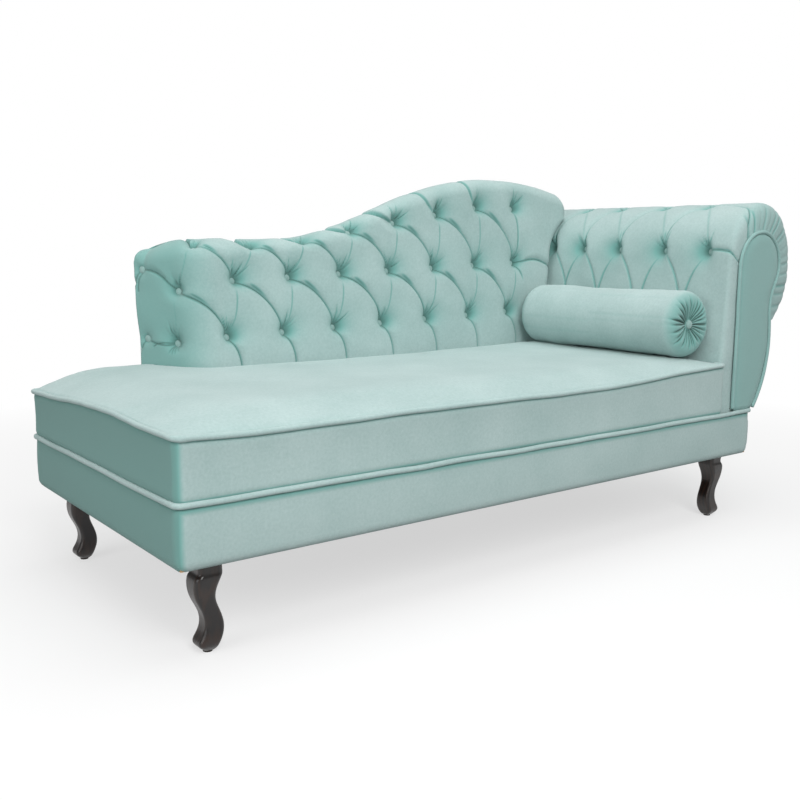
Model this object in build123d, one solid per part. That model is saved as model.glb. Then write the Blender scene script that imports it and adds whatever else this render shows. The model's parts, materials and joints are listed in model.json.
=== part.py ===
from build123d import *
import os
from math import acos, atan2, cos, hypot, radians, sin

# A tufted recamier: a long seat on four cabriole legs, with a scrolled arm at one end and a tufted
# back whose top rises in a wave towards the arm. A loose bolster lies against the arm.
# Lengths are millimetres. The bench frame has its origin on the floor under the front corner of the
# foot end: X runs to the arm, Y to the rear and Z up. PLACE moves the finished pieces so that the
# origin lies at the bottom centre of the whole.

# Base frame
BASE_LENGTH = 1500.0
BASE_DEPTH = 700.0
LEG_HEIGHT = 160.0
RAIL_HEIGHT = 100.0
RAIL_THICKNESS = 22.0
APRON_PADDING = 8.0
APRON_CORNER = 14.0
APRON_HEM = 1.5
CROSS_RAIL_WIDTH = 40.0
CROSS_RAIL_HEIGHT = 45.0
BLOCK_LENGTH = 100.0
BLOCK_WIDTH = 82.0
BLOCK_HEIGHT = 40.0
RAIL_SCREW_RADIUS = 2.5
RAIL_SCREW_LENGTH = 70.0
DUST_SHEET = 0.8
DUST_MARGIN = 16.0
DUST_CORNER = 2.0
DUST_PLATE_GAP = 1.0

# Legs and what fastens them
LEG_INSET_X = 72.0
LEG_INSET_Y = 59.0
LEG_TOP_SIDE = 46.0
LEG_CORNER_SHARE = 0.22
PLATE_LENGTH = 72.0
PLATE_WIDTH = 50.0
PLATE_THICKNESS = 3.0
PLATE_SCREW_X = 29.0
PLATE_SCREW_Y = 17.0
PLATE_SCREW_RADIUS = 2.0
PLATE_SCREW_LENGTH = 28.0
PLATE_SCREW_HEAD = 2.0
STUD_RADIUS = 4.0
STUD_IN_LEG = 25.0
STUD_IN_BLOCK = 34.0
GLIDE_RADIUS = 8.0
GLIDE_HEIGHT = 3.0

# Seat
SEAT_BORDER = 110.0
SEAT_CROWN = 25.0
SEAT_CROWN_RUN = 120.0
SEAT_SIDE_DRAW = 2.5
SEAT_WADDING = 9.0
SEAT_CORNER = 16.0
WEB_THICKNESS = 1.8
WEB_WIDTH = 50.0
WEB_PITCH = 104.0
WEB_LENGTHWISE = 4
BEARER_THICKNESS = 22.0
BEARER_HEIGHT = 55.0
BEARER_TO_BACK = 1.0
BEARER_PAST_SEAT = 12.0
STRAP_INSET = 1.0
WELT_RADIUS = 5.0
WELT_PROUD = 3.0
WELT_SINK = 1.0

# Back
BACK_LEFT = 243.0
BACK_OVERHANG = 20.0
BACK_DEPTH = 148.0
BACK_PADDING = 90.0
BACK_LOW_TOP = 669.0
BACK_HIGH_TOP = 826.0
BACK_END_SLANT = 75.0
BACK_END_ROUND = 80.0
BACK_TOP_CORNER = 45.0
BACK_EDGE_ROUND = 30.0
BACK_PAST_BASE = 45.0
WAVE_RUN = 392.0
WAVE_RADIUS = 480.0
HIGH_RUN = 248.0
CREST_RUN = 159.0
CREST_RADIUS = 700.0
SHOULDER_DROP = 39.0
SHOULDER_RADIUS = 40.0
BACK_PANEL = 8.0
BACK_FOOT_GAP = 1.0
BACK_PANEL_INSET = 7.5
BACK_BOARD = 9.0
FRAME_WRAP_TOP = 45.0
FRAME_WRAP_END = 70.0
FRAME_CORNER = 6.0
TOP_RAIL_HEIGHT = 50.0
BOTTOM_RAIL_HEIGHT = 60.0
POST_WIDTH = 45.0
POST_COUNT = 4
LAG_RADIUS = 4.0
LAG_HEAD_RADIUS = 8.0
LAG_HEAD = 5.0
LAG_IN_RAIL = 50.0

# Tufts of the back
TUFT_COLUMNS = 8
TUFT_TOP_FIRST_X = 318.0
TUFT_TOP_LAST_TO_ARM = 142.0
TUFT_MIDDLE_FIRST_X = 267.0
TUFT_MIDDLE_LAST_TO_ARM = 134.0
TUFT_LOW_FIRST_X = 252.0
TUFT_LOW_LAST_TO_ARM = 154.0
TUFT_CORNER_TURN = 50.0
TUFT_TOP_LOW = 653.0
TUFT_TOP_HIGH = 770.0
TUFT_TOP_WAVE_LEAD = 326.0
TUFT_TOP_WAVE_RUN = 1100.0
TUFT_MIDDLE_ABOVE_SEAT = 172.0
TUFT_MIDDLE_CLIMB = 5.5
TUFT_LOW_ABOVE_SEAT = 50.5
TUFT_LOW_CLIMB = 4.4
TUFT_DEPTH = 35.0
TUFT_MOUTH = 36.0
TUFT_SEAT = 10.5
CREASE_WIDTH = 26.0
CREASE_DEPTH = 12.0
END_TUFT_SHARE = 0.28
END_TUFT_LIFT = 35.0
CUT_START = 1.0
BUTTON_RADIUS = 9.5
BUTTON_HEIGHT = 6.0
BUTTON_ROUND = 2.5

# Arm
ARM_WIDTH = 119.0
ARM_OVERHANG = 160.0
ARM_HEIGHT = 756.0
ROLL_RADIUS = 130.0
ROLL_DROP = 36.0
ROLL_TURN_UNDER = 54.0
ARM_PADDING = 50.0
ROLL_PADDING = 68.0
SCROLL_RADIUS = 75.0
SCROLL_TURN = 30.0
NECK_PAST_BASE = 53.5
NECK_BELOW_SCROLL = 128.0
FACING_FOOT_INSET = 3.0
FACING_THICKNESS = 12.0
FACING_ROUND = 4.0
FACING_WELT_RADIUS = 4.5
ARM_BOARD = 18.0
ARM_SKIN = 6.0
ARM_REAR_PANEL = 10.0
ARM_EDGE_ROUND = 10.0
BATTEN_WIDTH = 40.0
BATTEN_HEIGHT = 36.0
INNER_PANEL = 6.0
ROLL_FORMER = 4.0
ARM_TUFT_COLUMNS = 4
ARM_TUFT_FIRST_Y = 84.0
ARM_TUFT_PITCH = 126.0
ARM_TUFT_DEPTH = 26.0
ARM_TUFT_MOUTH = 30.0
ARM_TUFT_ANGLES = (165.0, 105.0)

# Bolster
BOLSTER_RADIUS = 77.0
BOLSTER_LENGTH = 500.0
BOLSTER_TO_BACK = 22.0
BOLSTER_CROWN = 1.5
BOLSTER_END_ROUND = 30.0
BOLSTER_END_SWELL = 9.0
BOLSTER_COVER = 2.0
BOLSTER_BUTTON_RADIUS = 11.0
BOLSTER_BUTTON_HEIGHT = 5.0

# Clearances: between soft pieces, and round a screw
SOFT_GAP = 0.3
SCREW_GAP = 0.05

# Cabriole section of a leg, from the top down: share of the wooden height, outward shift, side
LEG_SECTIONS = (
    (1.00, 0.0, LEG_TOP_SIDE),
    (0.82, 1.0, LEG_TOP_SIDE),
    (0.72, 5.7, 42.0),
    (0.57, 4.6, 34.0),
    (0.43, -4.3, 31.0),
    (0.28, -8.9, 34.0),
    (0.17, -4.6, 38.0),
    (0.09, 0.6, 38.0),
    (0.045, 0.0, 31.0),
    (0.0, -1.0, 2.2 * GLIDE_RADIUS),
)

# Heights worked out from the sizes above
RAIL_TOP = LEG_HEIGHT + RAIL_HEIGHT
DECK_Z = RAIL_TOP + 2 * WEB_THICKNESS
SEAM_Z = RAIL_TOP + WELT_RADIUS - WELT_SINK
BORDER_Z = SEAM_Z + SEAT_BORDER
CROWN_Z = BORDER_Z + SEAT_CROWN
ABOVE_WELT_Z = SEAM_Z + WELT_RADIUS + SOFT_GAP
WOOD_TOP = LEG_HEIGHT - PLATE_THICKNESS
HEM_Z = LEG_HEIGHT - APRON_HEM

# Places along the length and the depth
ARM_INNER = BASE_LENGTH - ARM_WIDTH
ROLL_X = BASE_LENGTH + ARM_OVERHANG - ROLL_RADIUS
ROLL_Z = ARM_HEIGHT - ROLL_RADIUS
FACE_INNER = ARM_INNER + ARM_PADDING
SCROLL_X = FACE_INNER + SCROLL_RADIUS
SCROLL_Z = ARM_HEIGHT - ROLL_PADDING - SCROLL_RADIUS
BACK_REAR = BASE_DEPTH + BACK_OVERHANG
PAD_REAR = BACK_REAR - BACK_PANEL
BACK_FRONT = BACK_REAR - BACK_DEPTH
BOARD_FRONT = BACK_FRONT + BACK_PADDING
POST_FRONT = BOARD_FRONT + BACK_BOARD
BACK_RIGHT = BASE_LENGTH - BACK_PAST_BASE
CREST_X = BACK_RIGHT - CREST_RUN
WAVE_END = CREST_X - HIGH_RUN
WAVE_START = WAVE_END - WAVE_RUN
RAIL_IN = APRON_PADDING + RAIL_THICKNESS
REAR_BEARER_REAR = BACK_FRONT - BEARER_TO_BACK
REAR_BEARER_FRONT = REAR_BEARER_REAR - BEARER_THICKNESS
ARM_BEARER_LEFT = ARM_INNER + BEARER_PAST_SEAT
ARM_REAR = BASE_DEPTH - ARM_REAR_PANEL
ARM_BOARD_REAR = FACING_THICKNESS + ARM_BOARD
BEARER_Z = RAIL_TOP - BEARER_HEIGHT
WELT_INSET = WELT_RADIUS - WELT_PROUD
BOLSTER_FRONT = BACK_FRONT - BOLSTER_TO_BACK - BOLSTER_LENGTH

# From the bench frame to the part's frame
PLACE = Pos(
    -(BASE_LENGTH + ARM_OVERHANG - WELT_PROUD) / 2,
    -(BACK_REAR - WELT_PROUD) / 2,
    0,
)

# Legs: name, foot centre, and the way that the knee swells
LEGS = (
    ("front_left_leg", LEG_INSET_X, LEG_INSET_Y, -1),
    ("front_right_leg", BASE_LENGTH - LEG_INSET_X, LEG_INSET_Y, 1),
    ("rear_left_leg", LEG_INSET_X, BASE_DEPTH - LEG_INSET_Y, -1),
    ("rear_right_leg", BASE_LENGTH - LEG_INSET_X, BASE_DEPTH - LEG_INSET_Y, 1),
)


def block(low, high):
    """Box between its lowest and highest corners."""
    size = [b - a for a, b in zip(low, high)]
    return Pos(*low) * Box(*size, align=(Align.MIN, Align.MIN, Align.MIN))


def rod(start, direction, length, radius):
    """Round bar from a point along a direction."""
    standing = (Align.CENTER, Align.CENTER, Align.MIN)
    return Plane(origin=start, z_dir=direction) * Cylinder(radius, length, align=standing)


def along_y(face, y_from, y_to):
    """Solid from a face drawn in x and z, stretched between two depths."""
    return Pos(0, y_from, 0) * extrude(Plane.XZ * face, amount=y_to - y_from, dir=(0, 1, 0))


def along_x(face, x_from, x_to):
    """Solid from a face drawn in y and z, stretched between two lengths."""
    return Pos(x_from, 0, 0) * extrude(Plane.YZ * face, amount=x_to - x_from, dir=(1, 0, 0))


def along_z(face, z_from, z_to):
    """Solid from a face drawn in x and y, stretched between two heights."""
    return Pos(0, 0, z_from) * extrude(face, amount=z_to - z_from, dir=(0, 0, 1))


def group(solids):
    """Separate solids of one node."""
    return Compound(children=[solid for piece in solids for solid in piece.solids()])


def tube(path, radius):
    """Round cord along a path of lines and arcs."""
    return sweep(Plane(origin=path @ 0, z_dir=path % 0) * Circle(radius), path=path)


def spaced(first, last, count):
    """Evenly spaced places, both ends included."""
    step = (last - first) / (count - 1)
    return [first + step * index for index in range(count)]


# Outlines


def arm_touch(grow=0.0):
    """Foot of the arm's inner face, and the point where that face meets the roll."""
    foot_x = ARM_INNER - grow
    dx = foot_x - ROLL_X
    dz = SEAM_Z - ROLL_Z
    radius = ROLL_RADIUS + grow
    turn = atan2(dz, dx) - acos(radius / hypot(dx, dz))
    return (foot_x, SEAM_Z), (ROLL_X + radius * cos(turn), ROLL_Z + radius * sin(turn))


def arm_outline(grow=0.0):
    """Padded arm seen from the front: leaning inner face, roll, and its turned-under edge."""
    foot, touch = arm_touch(grow)
    radius = ROLL_RADIUS + grow
    right = ROLL_X + radius
    low_z = ROLL_Z - ROLL_DROP
    under = radians(-ROLL_TURN_UNDER)
    half_under = under / 2
    tip = (ROLL_X + radius * cos(under), low_z + radius * sin(under))
    inside = (SCROLL_X, tip[1])
    heel = (FACE_INNER + 2 * ARM_SKIN, SEAM_Z)
    edges = [
        Line(foot, touch),
        ThreePointArc(touch, (ROLL_X, ROLL_Z + radius), (right, ROLL_Z)),
        Line((right, ROLL_Z), (right, low_z)),
        ThreePointArc(
            (right, low_z),
            (ROLL_X + radius * cos(half_under), low_z + radius * sin(half_under)),
            tip,
        ),
        Polyline(tip, inside, heel, foot),
    ]
    return make_face(edges)


def facing_edge(grow):
    """Open edge of the arm's front panel: inner side, scroll, neck and belly."""
    radius = SCROLL_RADIUS + grow
    left = FACE_INNER - grow
    turn = radians(-SCROLL_TURN)
    leave = (SCROLL_X + radius * cos(turn), SCROLL_Z + radius * sin(turn))
    neck = (BASE_LENGTH + NECK_PAST_BASE + grow, SCROLL_Z - NECK_BELOW_SCROLL)
    side = Line((left, SEAM_Z), (left, SCROLL_Z))
    scroll = ThreePointArc((left, SCROLL_Z), (SCROLL_X, SCROLL_Z + radius), leave)
    waist = TangentArc(leave, neck, tangent=scroll % 1)
    belly = TangentArc(neck, (facing_foot(grow), SEAM_Z), tangent=waist % 1)
    return [side, scroll, waist, belly]


def facing_foot(grow):
    """Outer end of the front panel's foot, along the length."""
    return BASE_LENGTH - FACING_FOOT_INSET + grow


def facing_outline(grow):
    """Closed outline of the arm's front panel, or of the boards behind it."""
    edges = facing_edge(grow)
    return make_face(edges + [Line(edges[-1] @ 1, edges[0] @ 0)])


def below(height):
    """Everything lower than a height, used to trim what stands above the base's piping."""
    return block((-BASE_LENGTH, -BASE_DEPTH, 0), (2 * BASE_LENGTH, 2 * BASE_DEPTH, height))


def back_outline(inset, foot_z):
    """Back seen from the front: low stretch, wave, high stretch and shoulder."""
    left = BACK_LEFT + inset
    right = BACK_RIGHT - inset
    low = BACK_LOW_TOP - inset
    high = BACK_HIGH_TOP - inset
    shoulder = high - SHOULDER_DROP * (right - CREST_X) / CREST_RUN
    points = [
        (left, foot_z),
        (left, low),
        (WAVE_START, low),
        (WAVE_END, high),
        (CREST_X, high),
        (right, shoulder),
        (right, foot_z),
    ]
    radii = [BACK_TOP_CORNER, WAVE_RADIUS, WAVE_RADIUS, CREST_RADIUS, SHOULDER_RADIUS]
    top = FilletPolyline(*points, radius=radii)
    return make_face(top.edges() + [Line(points[-1], points[0])])


def frame_outline(drop, end_inset):
    """Wooden frame of the back seen from the front, up to the arm."""
    left = BACK_LEFT + FRAME_WRAP_END + end_inset
    right = ARM_INNER - end_inset
    low = BACK_LOW_TOP - FRAME_WRAP_TOP - drop
    high = BACK_HIGH_TOP - FRAME_WRAP_TOP - drop
    points = [
        (left, RAIL_TOP),
        (left, low),
        (WAVE_START, low),
        (WAVE_END, high),
        (right, high),
        (right, RAIL_TOP),
    ]
    radii = [FRAME_CORNER, WAVE_RADIUS, WAVE_RADIUS, FRAME_CORNER]
    top = FilletPolyline(*points, radius=radii)
    return make_face(top.edges() + [Line(points[-1], points[0])])


def back_plan(grow=0.0):
    """Back pad seen from above, with its slanted and rounded foot end."""
    front = BACK_FRONT - grow
    points = [
        (BACK_LEFT - grow, PAD_REAR),
        (BACK_LEFT + BACK_END_SLANT - grow, front),
        (BACK_RIGHT + grow, front),
        (BACK_RIGHT + grow, PAD_REAR),
    ]
    front_edge = FilletPolyline(*points[:3], radius=BACK_END_ROUND)
    return make_face(front_edge.edges() + Polyline(*points[2:], points[0]).edges())


def arm_room(grow, y_from, y_to):
    """Space that the arm takes, used to trim what meets it."""
    roll = along_y(arm_outline(grow), y_from, y_to)
    body = along_y(facing_outline(grow), y_from, y_to)
    foot = block((ARM_INNER - grow, y_from, 0), (BASE_LENGTH + ARM_OVERHANG, y_to, SEAM_Z))
    return roll + body + foot


# Base


def leg_tops():
    """Studs, plate screws and plates of every leg, as lists of solids."""
    studs, screws, plates = [], [], []
    for _, x, y, _ in LEGS:
        studs.append(rod((x, y, WOOD_TOP - STUD_IN_LEG), (0, 0, 1), stud_length(), STUD_RADIUS))
        plates.append(leg_plate(x, y))
        for side_x in (-PLATE_SCREW_X, PLATE_SCREW_X):
            for side_y in (-PLATE_SCREW_Y, PLATE_SCREW_Y):
                screws.append(plate_screw(x + side_x, y + side_y))
    return studs, screws, plates


def stud_length():
    """Whole length of a hanger stud, from inside the leg to inside the block."""
    return STUD_IN_LEG + PLATE_THICKNESS + STUD_IN_BLOCK


def plate_screw(x, y):
    """Pan-head screw that holds a leg plate under its corner block."""
    head = rod((x, y, WOOD_TOP - PLATE_SCREW_HEAD), (0, 0, 1), PLATE_SCREW_HEAD, 2 * PLATE_SCREW_RADIUS)
    return head + rod((x, y, WOOD_TOP), (0, 0, 1), PLATE_SCREW_LENGTH, PLATE_SCREW_RADIUS)


def leg_plate(x, y):
    """Steel plate between a leg and its corner block, bored for the stud and its screws."""
    half = (PLATE_LENGTH / 2, PLATE_WIDTH / 2)
    plate = block((x - half[0], y - half[1], WOOD_TOP), (x + half[0], y + half[1], LEG_HEIGHT))
    holes = [rod((x, y, WOOD_TOP), (0, 0, 1), PLATE_THICKNESS, STUD_RADIUS + SCREW_GAP)]
    for side_x in (-PLATE_SCREW_X, PLATE_SCREW_X):
        for side_y in (-PLATE_SCREW_Y, PLATE_SCREW_Y):
            place = (x + side_x, y + side_y, WOOD_TOP)
            holes.append(rod(place, (0, 0, 1), PLATE_THICKNESS, PLATE_SCREW_RADIUS + SCREW_GAP))
    return plate - holes


def cabriole_leg(x, y, outward):
    """Carved leg with its bored top, standing on the glide."""
    height = WOOD_TOP - GLIDE_HEIGHT
    sections = []
    for share, shift, side in LEG_SECTIONS:
        place = Pos(x + outward * shift, y, GLIDE_HEIGHT + share * height)
        sections.append(place * RectangleRounded(side, side, side * LEG_CORNER_SHARE))
    bore = rod((x, y, WOOD_TOP - STUD_IN_LEG), (0, 0, 1), STUD_IN_LEG, STUD_RADIUS + SCREW_GAP)
    return loft(sections[::-1]) - bore


def glides():
    """Felt discs under the four feet."""
    foot_shift = LEG_SECTIONS[-1][1]
    return [
        rod((x + outward * foot_shift, y, 0), (0, 0, 1), GLIDE_HEIGHT, GLIDE_RADIUS)
        for _, x, y, outward in LEGS
    ]


def rail_screws(gap=0.0):
    """Screws through the long rails into the ends of the short ones, or their bores."""
    end_x = APRON_PADDING + RAIL_THICKNESS / 2
    solids = []
    for x in (end_x, BASE_LENGTH - end_x):
        for z in (LEG_HEIGHT + RAIL_HEIGHT / 4, LEG_HEIGHT + RAIL_HEIGHT * 3 / 4):
            for y, way in ((APRON_PADDING, 1), (BASE_DEPTH - APRON_PADDING, -1)):
                solids.append(rod((x, y, z), (0, way, 0), RAIL_SCREW_LENGTH, RAIL_SCREW_RADIUS + gap))
    return solids


def back_lags(gap=0.0):
    """Lag screws that hold the back's bottom rail down on the rear rail, or their bores."""
    y = (POST_FRONT + BASE_DEPTH - APRON_PADDING) / 2
    first = BACK_LEFT + FRAME_WRAP_END + POST_WIDTH + 2 * LAG_HEAD_RADIUS
    last = ARM_INNER - POST_WIDTH - 3 * LAG_HEAD_RADIUS
    return [lag(x, y, RAIL_TOP + BOTTOM_RAIL_HEIGHT, gap) for x in spaced(first, last, 3)]


def arm_lags(gap=0.0):
    """Lag screws that hold the arm's foot batten down on the right rail, or their bores."""
    x = BASE_LENGTH - RAIL_IN + RAIL_THICKNESS / 2
    first = APRON_PADDING + RAIL_SCREW_LENGTH + 2 * LAG_HEAD_RADIUS
    last = BASE_DEPTH - first
    return [lag(x, y, RAIL_TOP + BATTEN_HEIGHT, gap) for y in spaced(first, last, 3)]


def lag(x, y, seat_z, gap):
    """One lag screw, its head on top of a timber and its point in the rail below."""
    point_z = RAIL_TOP - LAG_IN_RAIL
    shank = rod((x, y, point_z), (0, 0, 1), seat_z - point_z, LAG_RADIUS + gap)
    return shank + rod((x, y, seat_z), (0, 0, 1), LAG_HEAD, LAG_HEAD_RADIUS + gap)


def long_rail(y_front):
    """Front or rear rail, bored for the screws that enter it."""
    low = (APRON_PADDING, y_front, LEG_HEIGHT)
    high = (BASE_LENGTH - APRON_PADDING, y_front + RAIL_THICKNESS, RAIL_TOP)
    return block(low, high) - rail_screws(SCREW_GAP) - back_lags(SCREW_GAP)


def end_rail(x_left):
    """Left or right rail between the long rails, bored for the screws that enter it."""
    low = (x_left, RAIL_IN, LEG_HEIGHT)
    high = (x_left + RAIL_THICKNESS, BASE_DEPTH - RAIL_IN, RAIL_TOP)
    return block(low, high) - rail_screws(SCREW_GAP) - arm_lags(SCREW_GAP)


def cross_rails():
    """Two low rails across the base, under the seat's rear bearer."""
    third = BASE_LENGTH / 3
    solids = []
    for x in (third, 2 * third):
        low = (x - CROSS_RAIL_WIDTH / 2, RAIL_IN, LEG_HEIGHT)
        high = (x + CROSS_RAIL_WIDTH / 2, BASE_DEPTH - RAIL_IN, LEG_HEIGHT + CROSS_RAIL_HEIGHT)
        solids.append(block(low, high))
    return solids


def corner_blocks():
    """Blocks in the rails' corners that take the legs, bored for studs and screws."""
    bores = []
    for _, x, y, _ in LEGS:
        bores.append(rod((x, y, LEG_HEIGHT), (0, 0, 1), STUD_IN_BLOCK, STUD_RADIUS + SCREW_GAP))
        for side_x in (-PLATE_SCREW_X, PLATE_SCREW_X):
            for side_y in (-PLATE_SCREW_Y, PLATE_SCREW_Y):
                place = (x + side_x, y + side_y, LEG_HEIGHT)
                depth = PLATE_SCREW_LENGTH - PLATE_THICKNESS
                bores.append(rod(place, (0, 0, 1), depth, PLATE_SCREW_RADIUS + SCREW_GAP))
    solids = []
    for x in (RAIL_IN, BASE_LENGTH - RAIL_IN - BLOCK_LENGTH):
        for y in (RAIL_IN, BASE_DEPTH - RAIL_IN - BLOCK_WIDTH):
            low = (x, y, LEG_HEIGHT)
            high = (x + BLOCK_LENGTH, y + BLOCK_WIDTH, LEG_HEIGHT + BLOCK_HEIGHT)
            solids.append(block(low, high) - bores)
    return solids


def base_plan(inset, corner):
    """Rounded outline of the base, seen from above."""
    middle = Pos(BASE_LENGTH / 2, BASE_DEPTH / 2)
    return middle * RectangleRounded(BASE_LENGTH - 2 * inset, BASE_DEPTH - 2 * inset, corner)


def base_cover():
    """Padded apron round the rails, with its hem folded under them."""
    middle = Pos(BASE_LENGTH / 2, BASE_DEPTH / 2)
    frame = middle * Rectangle(BASE_LENGTH - 2 * APRON_PADDING, BASE_DEPTH - 2 * APRON_PADDING)
    opening = middle * Rectangle(BASE_LENGTH - 2 * RAIL_IN, BASE_DEPTH - 2 * RAIL_IN)
    apron = along_z(base_plan(0, APRON_CORNER), HEM_Z, RAIL_TOP)
    apron = apron - along_z(frame, LEG_HEIGHT, RAIL_TOP) - along_z(opening, HEM_Z, LEG_HEIGHT)
    return apron - tube(base_welt_path(), WELT_RADIUS + SOFT_GAP)


def dust_cover():
    """Thin sheet under the base, cut out round the leg plates."""
    inner = along_z(base_plan(DUST_MARGIN, DUST_CORNER), HEM_Z - DUST_SHEET, HEM_Z)
    holes = []
    for _, x, y, _ in LEGS:
        half_x = PLATE_LENGTH / 2 + DUST_PLATE_GAP
        half_y = PLATE_WIDTH / 2 + DUST_PLATE_GAP
        low = (x - half_x, y - half_y, HEM_Z - DUST_SHEET)
        holes.append(block(low, (x + half_x, y + half_y, HEM_Z)))
    return inner - holes


def base_welt_path():
    """Line of the piping between base and seat: from the back round the foot end to the arm's rear."""
    near = WELT_INSET
    far_x = BASE_LENGTH - WELT_INSET
    far_y = BASE_DEPTH - WELT_INSET
    points = [
        (BACK_LEFT - WELT_RADIUS, far_y),
        (near, far_y),
        (near, near),
        (far_x, near),
        (far_x, ARM_REAR),
    ]
    return Pos(0, 0, SEAM_Z) * FilletPolyline(*points, radius=APRON_CORNER - WELT_INSET)


# Seat


def seat_welt_path():
    """Line of the piping along the seat's top edge, from the arm round to the back."""
    near = WELT_INSET
    far_y = BASE_DEPTH - WELT_INSET
    points = [
        (BACK_LEFT - WELT_RADIUS, far_y),
        (near, far_y),
        (near, near),
        (ARM_INNER, near),
    ]
    return Pos(0, 0, BORDER_Z) * FilletPolyline(*points, radius=SEAT_CORNER - WELT_INSET)


def crown_edges(length, inset, both_ends):
    """Upper edge of a crowned cushion in section, over a length that starts at the inset."""
    border = BORDER_Z - inset
    crown = CROWN_Z - inset
    draw = inset + SEAT_SIDE_DRAW
    middle = (SEAM_Z + border) / 2
    rise_end = (inset + SEAT_CROWN_RUN, crown)
    edges = [
        ThreePointArc((inset, SEAM_Z), (draw, middle), (inset, border)),
        TangentArc(rise_end, (inset, border), tangent=(-1, 0)),
    ]
    if both_ends:
        fall_start = (length - inset - SEAT_CROWN_RUN, crown)
        end = (length - inset, border)
        edges.append(Line(rise_end, fall_start))
        edges.append(TangentArc(fall_start, end, tangent=(1, 0)))
        edges.append(ThreePointArc(end, (length - draw, middle), (length - inset, SEAM_Z)))
    else:
        edges.append(Polyline(rise_end, (length, crown), (length, SEAM_Z)))
    last = length - inset if both_ends else length
    edges.append(Line((last, SEAM_Z), (inset, SEAM_Z)))
    return edges


def crowned_seat(inset):
    """Seat cushion inside a given inset: crowned top, drawn-in sides, trimmed at the arm and back."""
    length = ARM_INNER + ARM_PADDING
    lengthwise = along_y(make_face(crown_edges(length, inset, False)), 0, BASE_DEPTH)
    crosswise = along_x(make_face(crown_edges(BASE_DEPTH, inset, True)), 0, length)
    plan_middle = Pos(BASE_LENGTH / 2, BASE_DEPTH / 2)
    plan = plan_middle * RectangleRounded(BASE_LENGTH, BASE_DEPTH, SEAT_CORNER)
    cushion = lengthwise & crosswise & along_z(plan, SEAM_Z, CROWN_Z)
    cushion = cushion - along_y(arm_outline(SOFT_GAP + inset), 0, BASE_DEPTH)
    return cushion - along_z(back_plan(SOFT_GAP + inset), SEAM_Z, CROWN_Z)


def seat_cover():
    """Fabric and wadding over the foam, grooved for the two pipings."""
    cover = crowned_seat(0) - crowned_seat(SEAT_WADDING)
    groove = WELT_RADIUS + SOFT_GAP
    return cover - [tube(seat_welt_path(), groove), tube(base_welt_path(), groove)]


def seat_foam():
    """Foam block inside the cover, down to the webbing."""
    foam = crowned_seat(SEAT_WADDING)
    foot = section_under(foam)
    return foam + foot


def section_under(foam):
    """Slab that carries the foam from the seam down to the webbing."""
    low = foam.bounding_box().min
    high = foam.bounding_box().max
    slab = block((low.X, low.Y, DECK_Z), (high.X, high.Y, SEAM_Z))
    slab = slab - along_z(back_plan(SOFT_GAP + SEAT_WADDING), DECK_Z, SEAM_Z)
    return slab & block((0, 0, DECK_Z), (ARM_INNER - SEAT_WADDING, BASE_DEPTH, SEAM_Z))


def webbing():
    """Crosswise straps from the front rail to the rear bearer, and lengthwise straps over them."""
    first = RAIL_IN + WEB_WIDTH
    count = int((ARM_BEARER_LEFT - 2 * first) // WEB_PITCH) + 1
    crosswise = []
    for x in spaced(first, ARM_BEARER_LEFT - WEB_WIDTH, count):
        low = (x - WEB_WIDTH / 2, APRON_PADDING + STRAP_INSET, RAIL_TOP)
        high = (x + WEB_WIDTH / 2, REAR_BEARER_REAR, RAIL_TOP + WEB_THICKNESS)
        crosswise.append(block(low, high))
    lengthwise = []
    gap = (REAR_BEARER_FRONT - RAIL_IN) / WEB_LENGTHWISE
    for index in range(WEB_LENGTHWISE):
        y = RAIL_IN + gap * (index + 0.5)
        low = (APRON_PADDING + STRAP_INSET, y - WEB_WIDTH / 2, RAIL_TOP + WEB_THICKNESS)
        high = (ARM_BEARER_LEFT + BEARER_THICKNESS, y + WEB_WIDTH / 2, DECK_Z)
        lengthwise.append(block(low, high))
    return crosswise + lengthwise


def rear_bearer():
    """Timber along the back of the seat deck, on the cross rails."""
    low = (RAIL_IN, REAR_BEARER_FRONT, BEARER_Z)
    return block(low, (BASE_LENGTH - RAIL_IN, REAR_BEARER_REAR, RAIL_TOP))


def arm_bearer():
    """Timber across the deck beside the arm, from the front rail to the rear bearer."""
    low = (ARM_BEARER_LEFT, RAIL_IN, BEARER_Z)
    return block(low, (ARM_BEARER_LEFT + BEARER_THICKNESS, REAR_BEARER_FRONT, RAIL_TOP))


# Tufting


def tuft(place, into, depth, mouth):
    """Funnel that a button draws into the padding, with a flat bottom for the button."""
    inward = Vector(*into).normalized()
    start = Vector(*place) - inward * CUT_START
    standing = (Align.CENTER, Align.CENTER, Align.MIN)
    funnel = Cone(mouth, TUFT_SEAT, depth + CUT_START, align=standing)
    return Plane(origin=start, z_dir=inward) * funnel


def button(place, into, depth, radius, height):
    """Covered button with a rounded front, seated at the bottom of its tuft."""
    inward = Vector(*into).normalized()
    seat = Vector(*place) + inward * depth
    disc = Cylinder(radius, height, align=(Align.CENTER, Align.CENTER, Align.MIN))
    disc = fillet(disc.edges().group_by(Axis.Z)[-1], BUTTON_ROUND)
    return Plane(origin=seat, z_dir=inward * -1) * disc


def crease(start, end, into):
    """Wedge that a pleat presses into the padding between two points of its face."""
    run = Vector(*end) - Vector(*start)
    side = Vector(*into).cross(run).normalized()
    wedge = Polygon(
        (-CREASE_WIDTH / 2, -CUT_START),
        (CREASE_WIDTH / 2, -CUT_START),
        (0, CREASE_DEPTH),
        align=None,
    )
    return extrude(Plane(origin=start, x_dir=side, z_dir=run) * wedge, amount=run.length)


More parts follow.
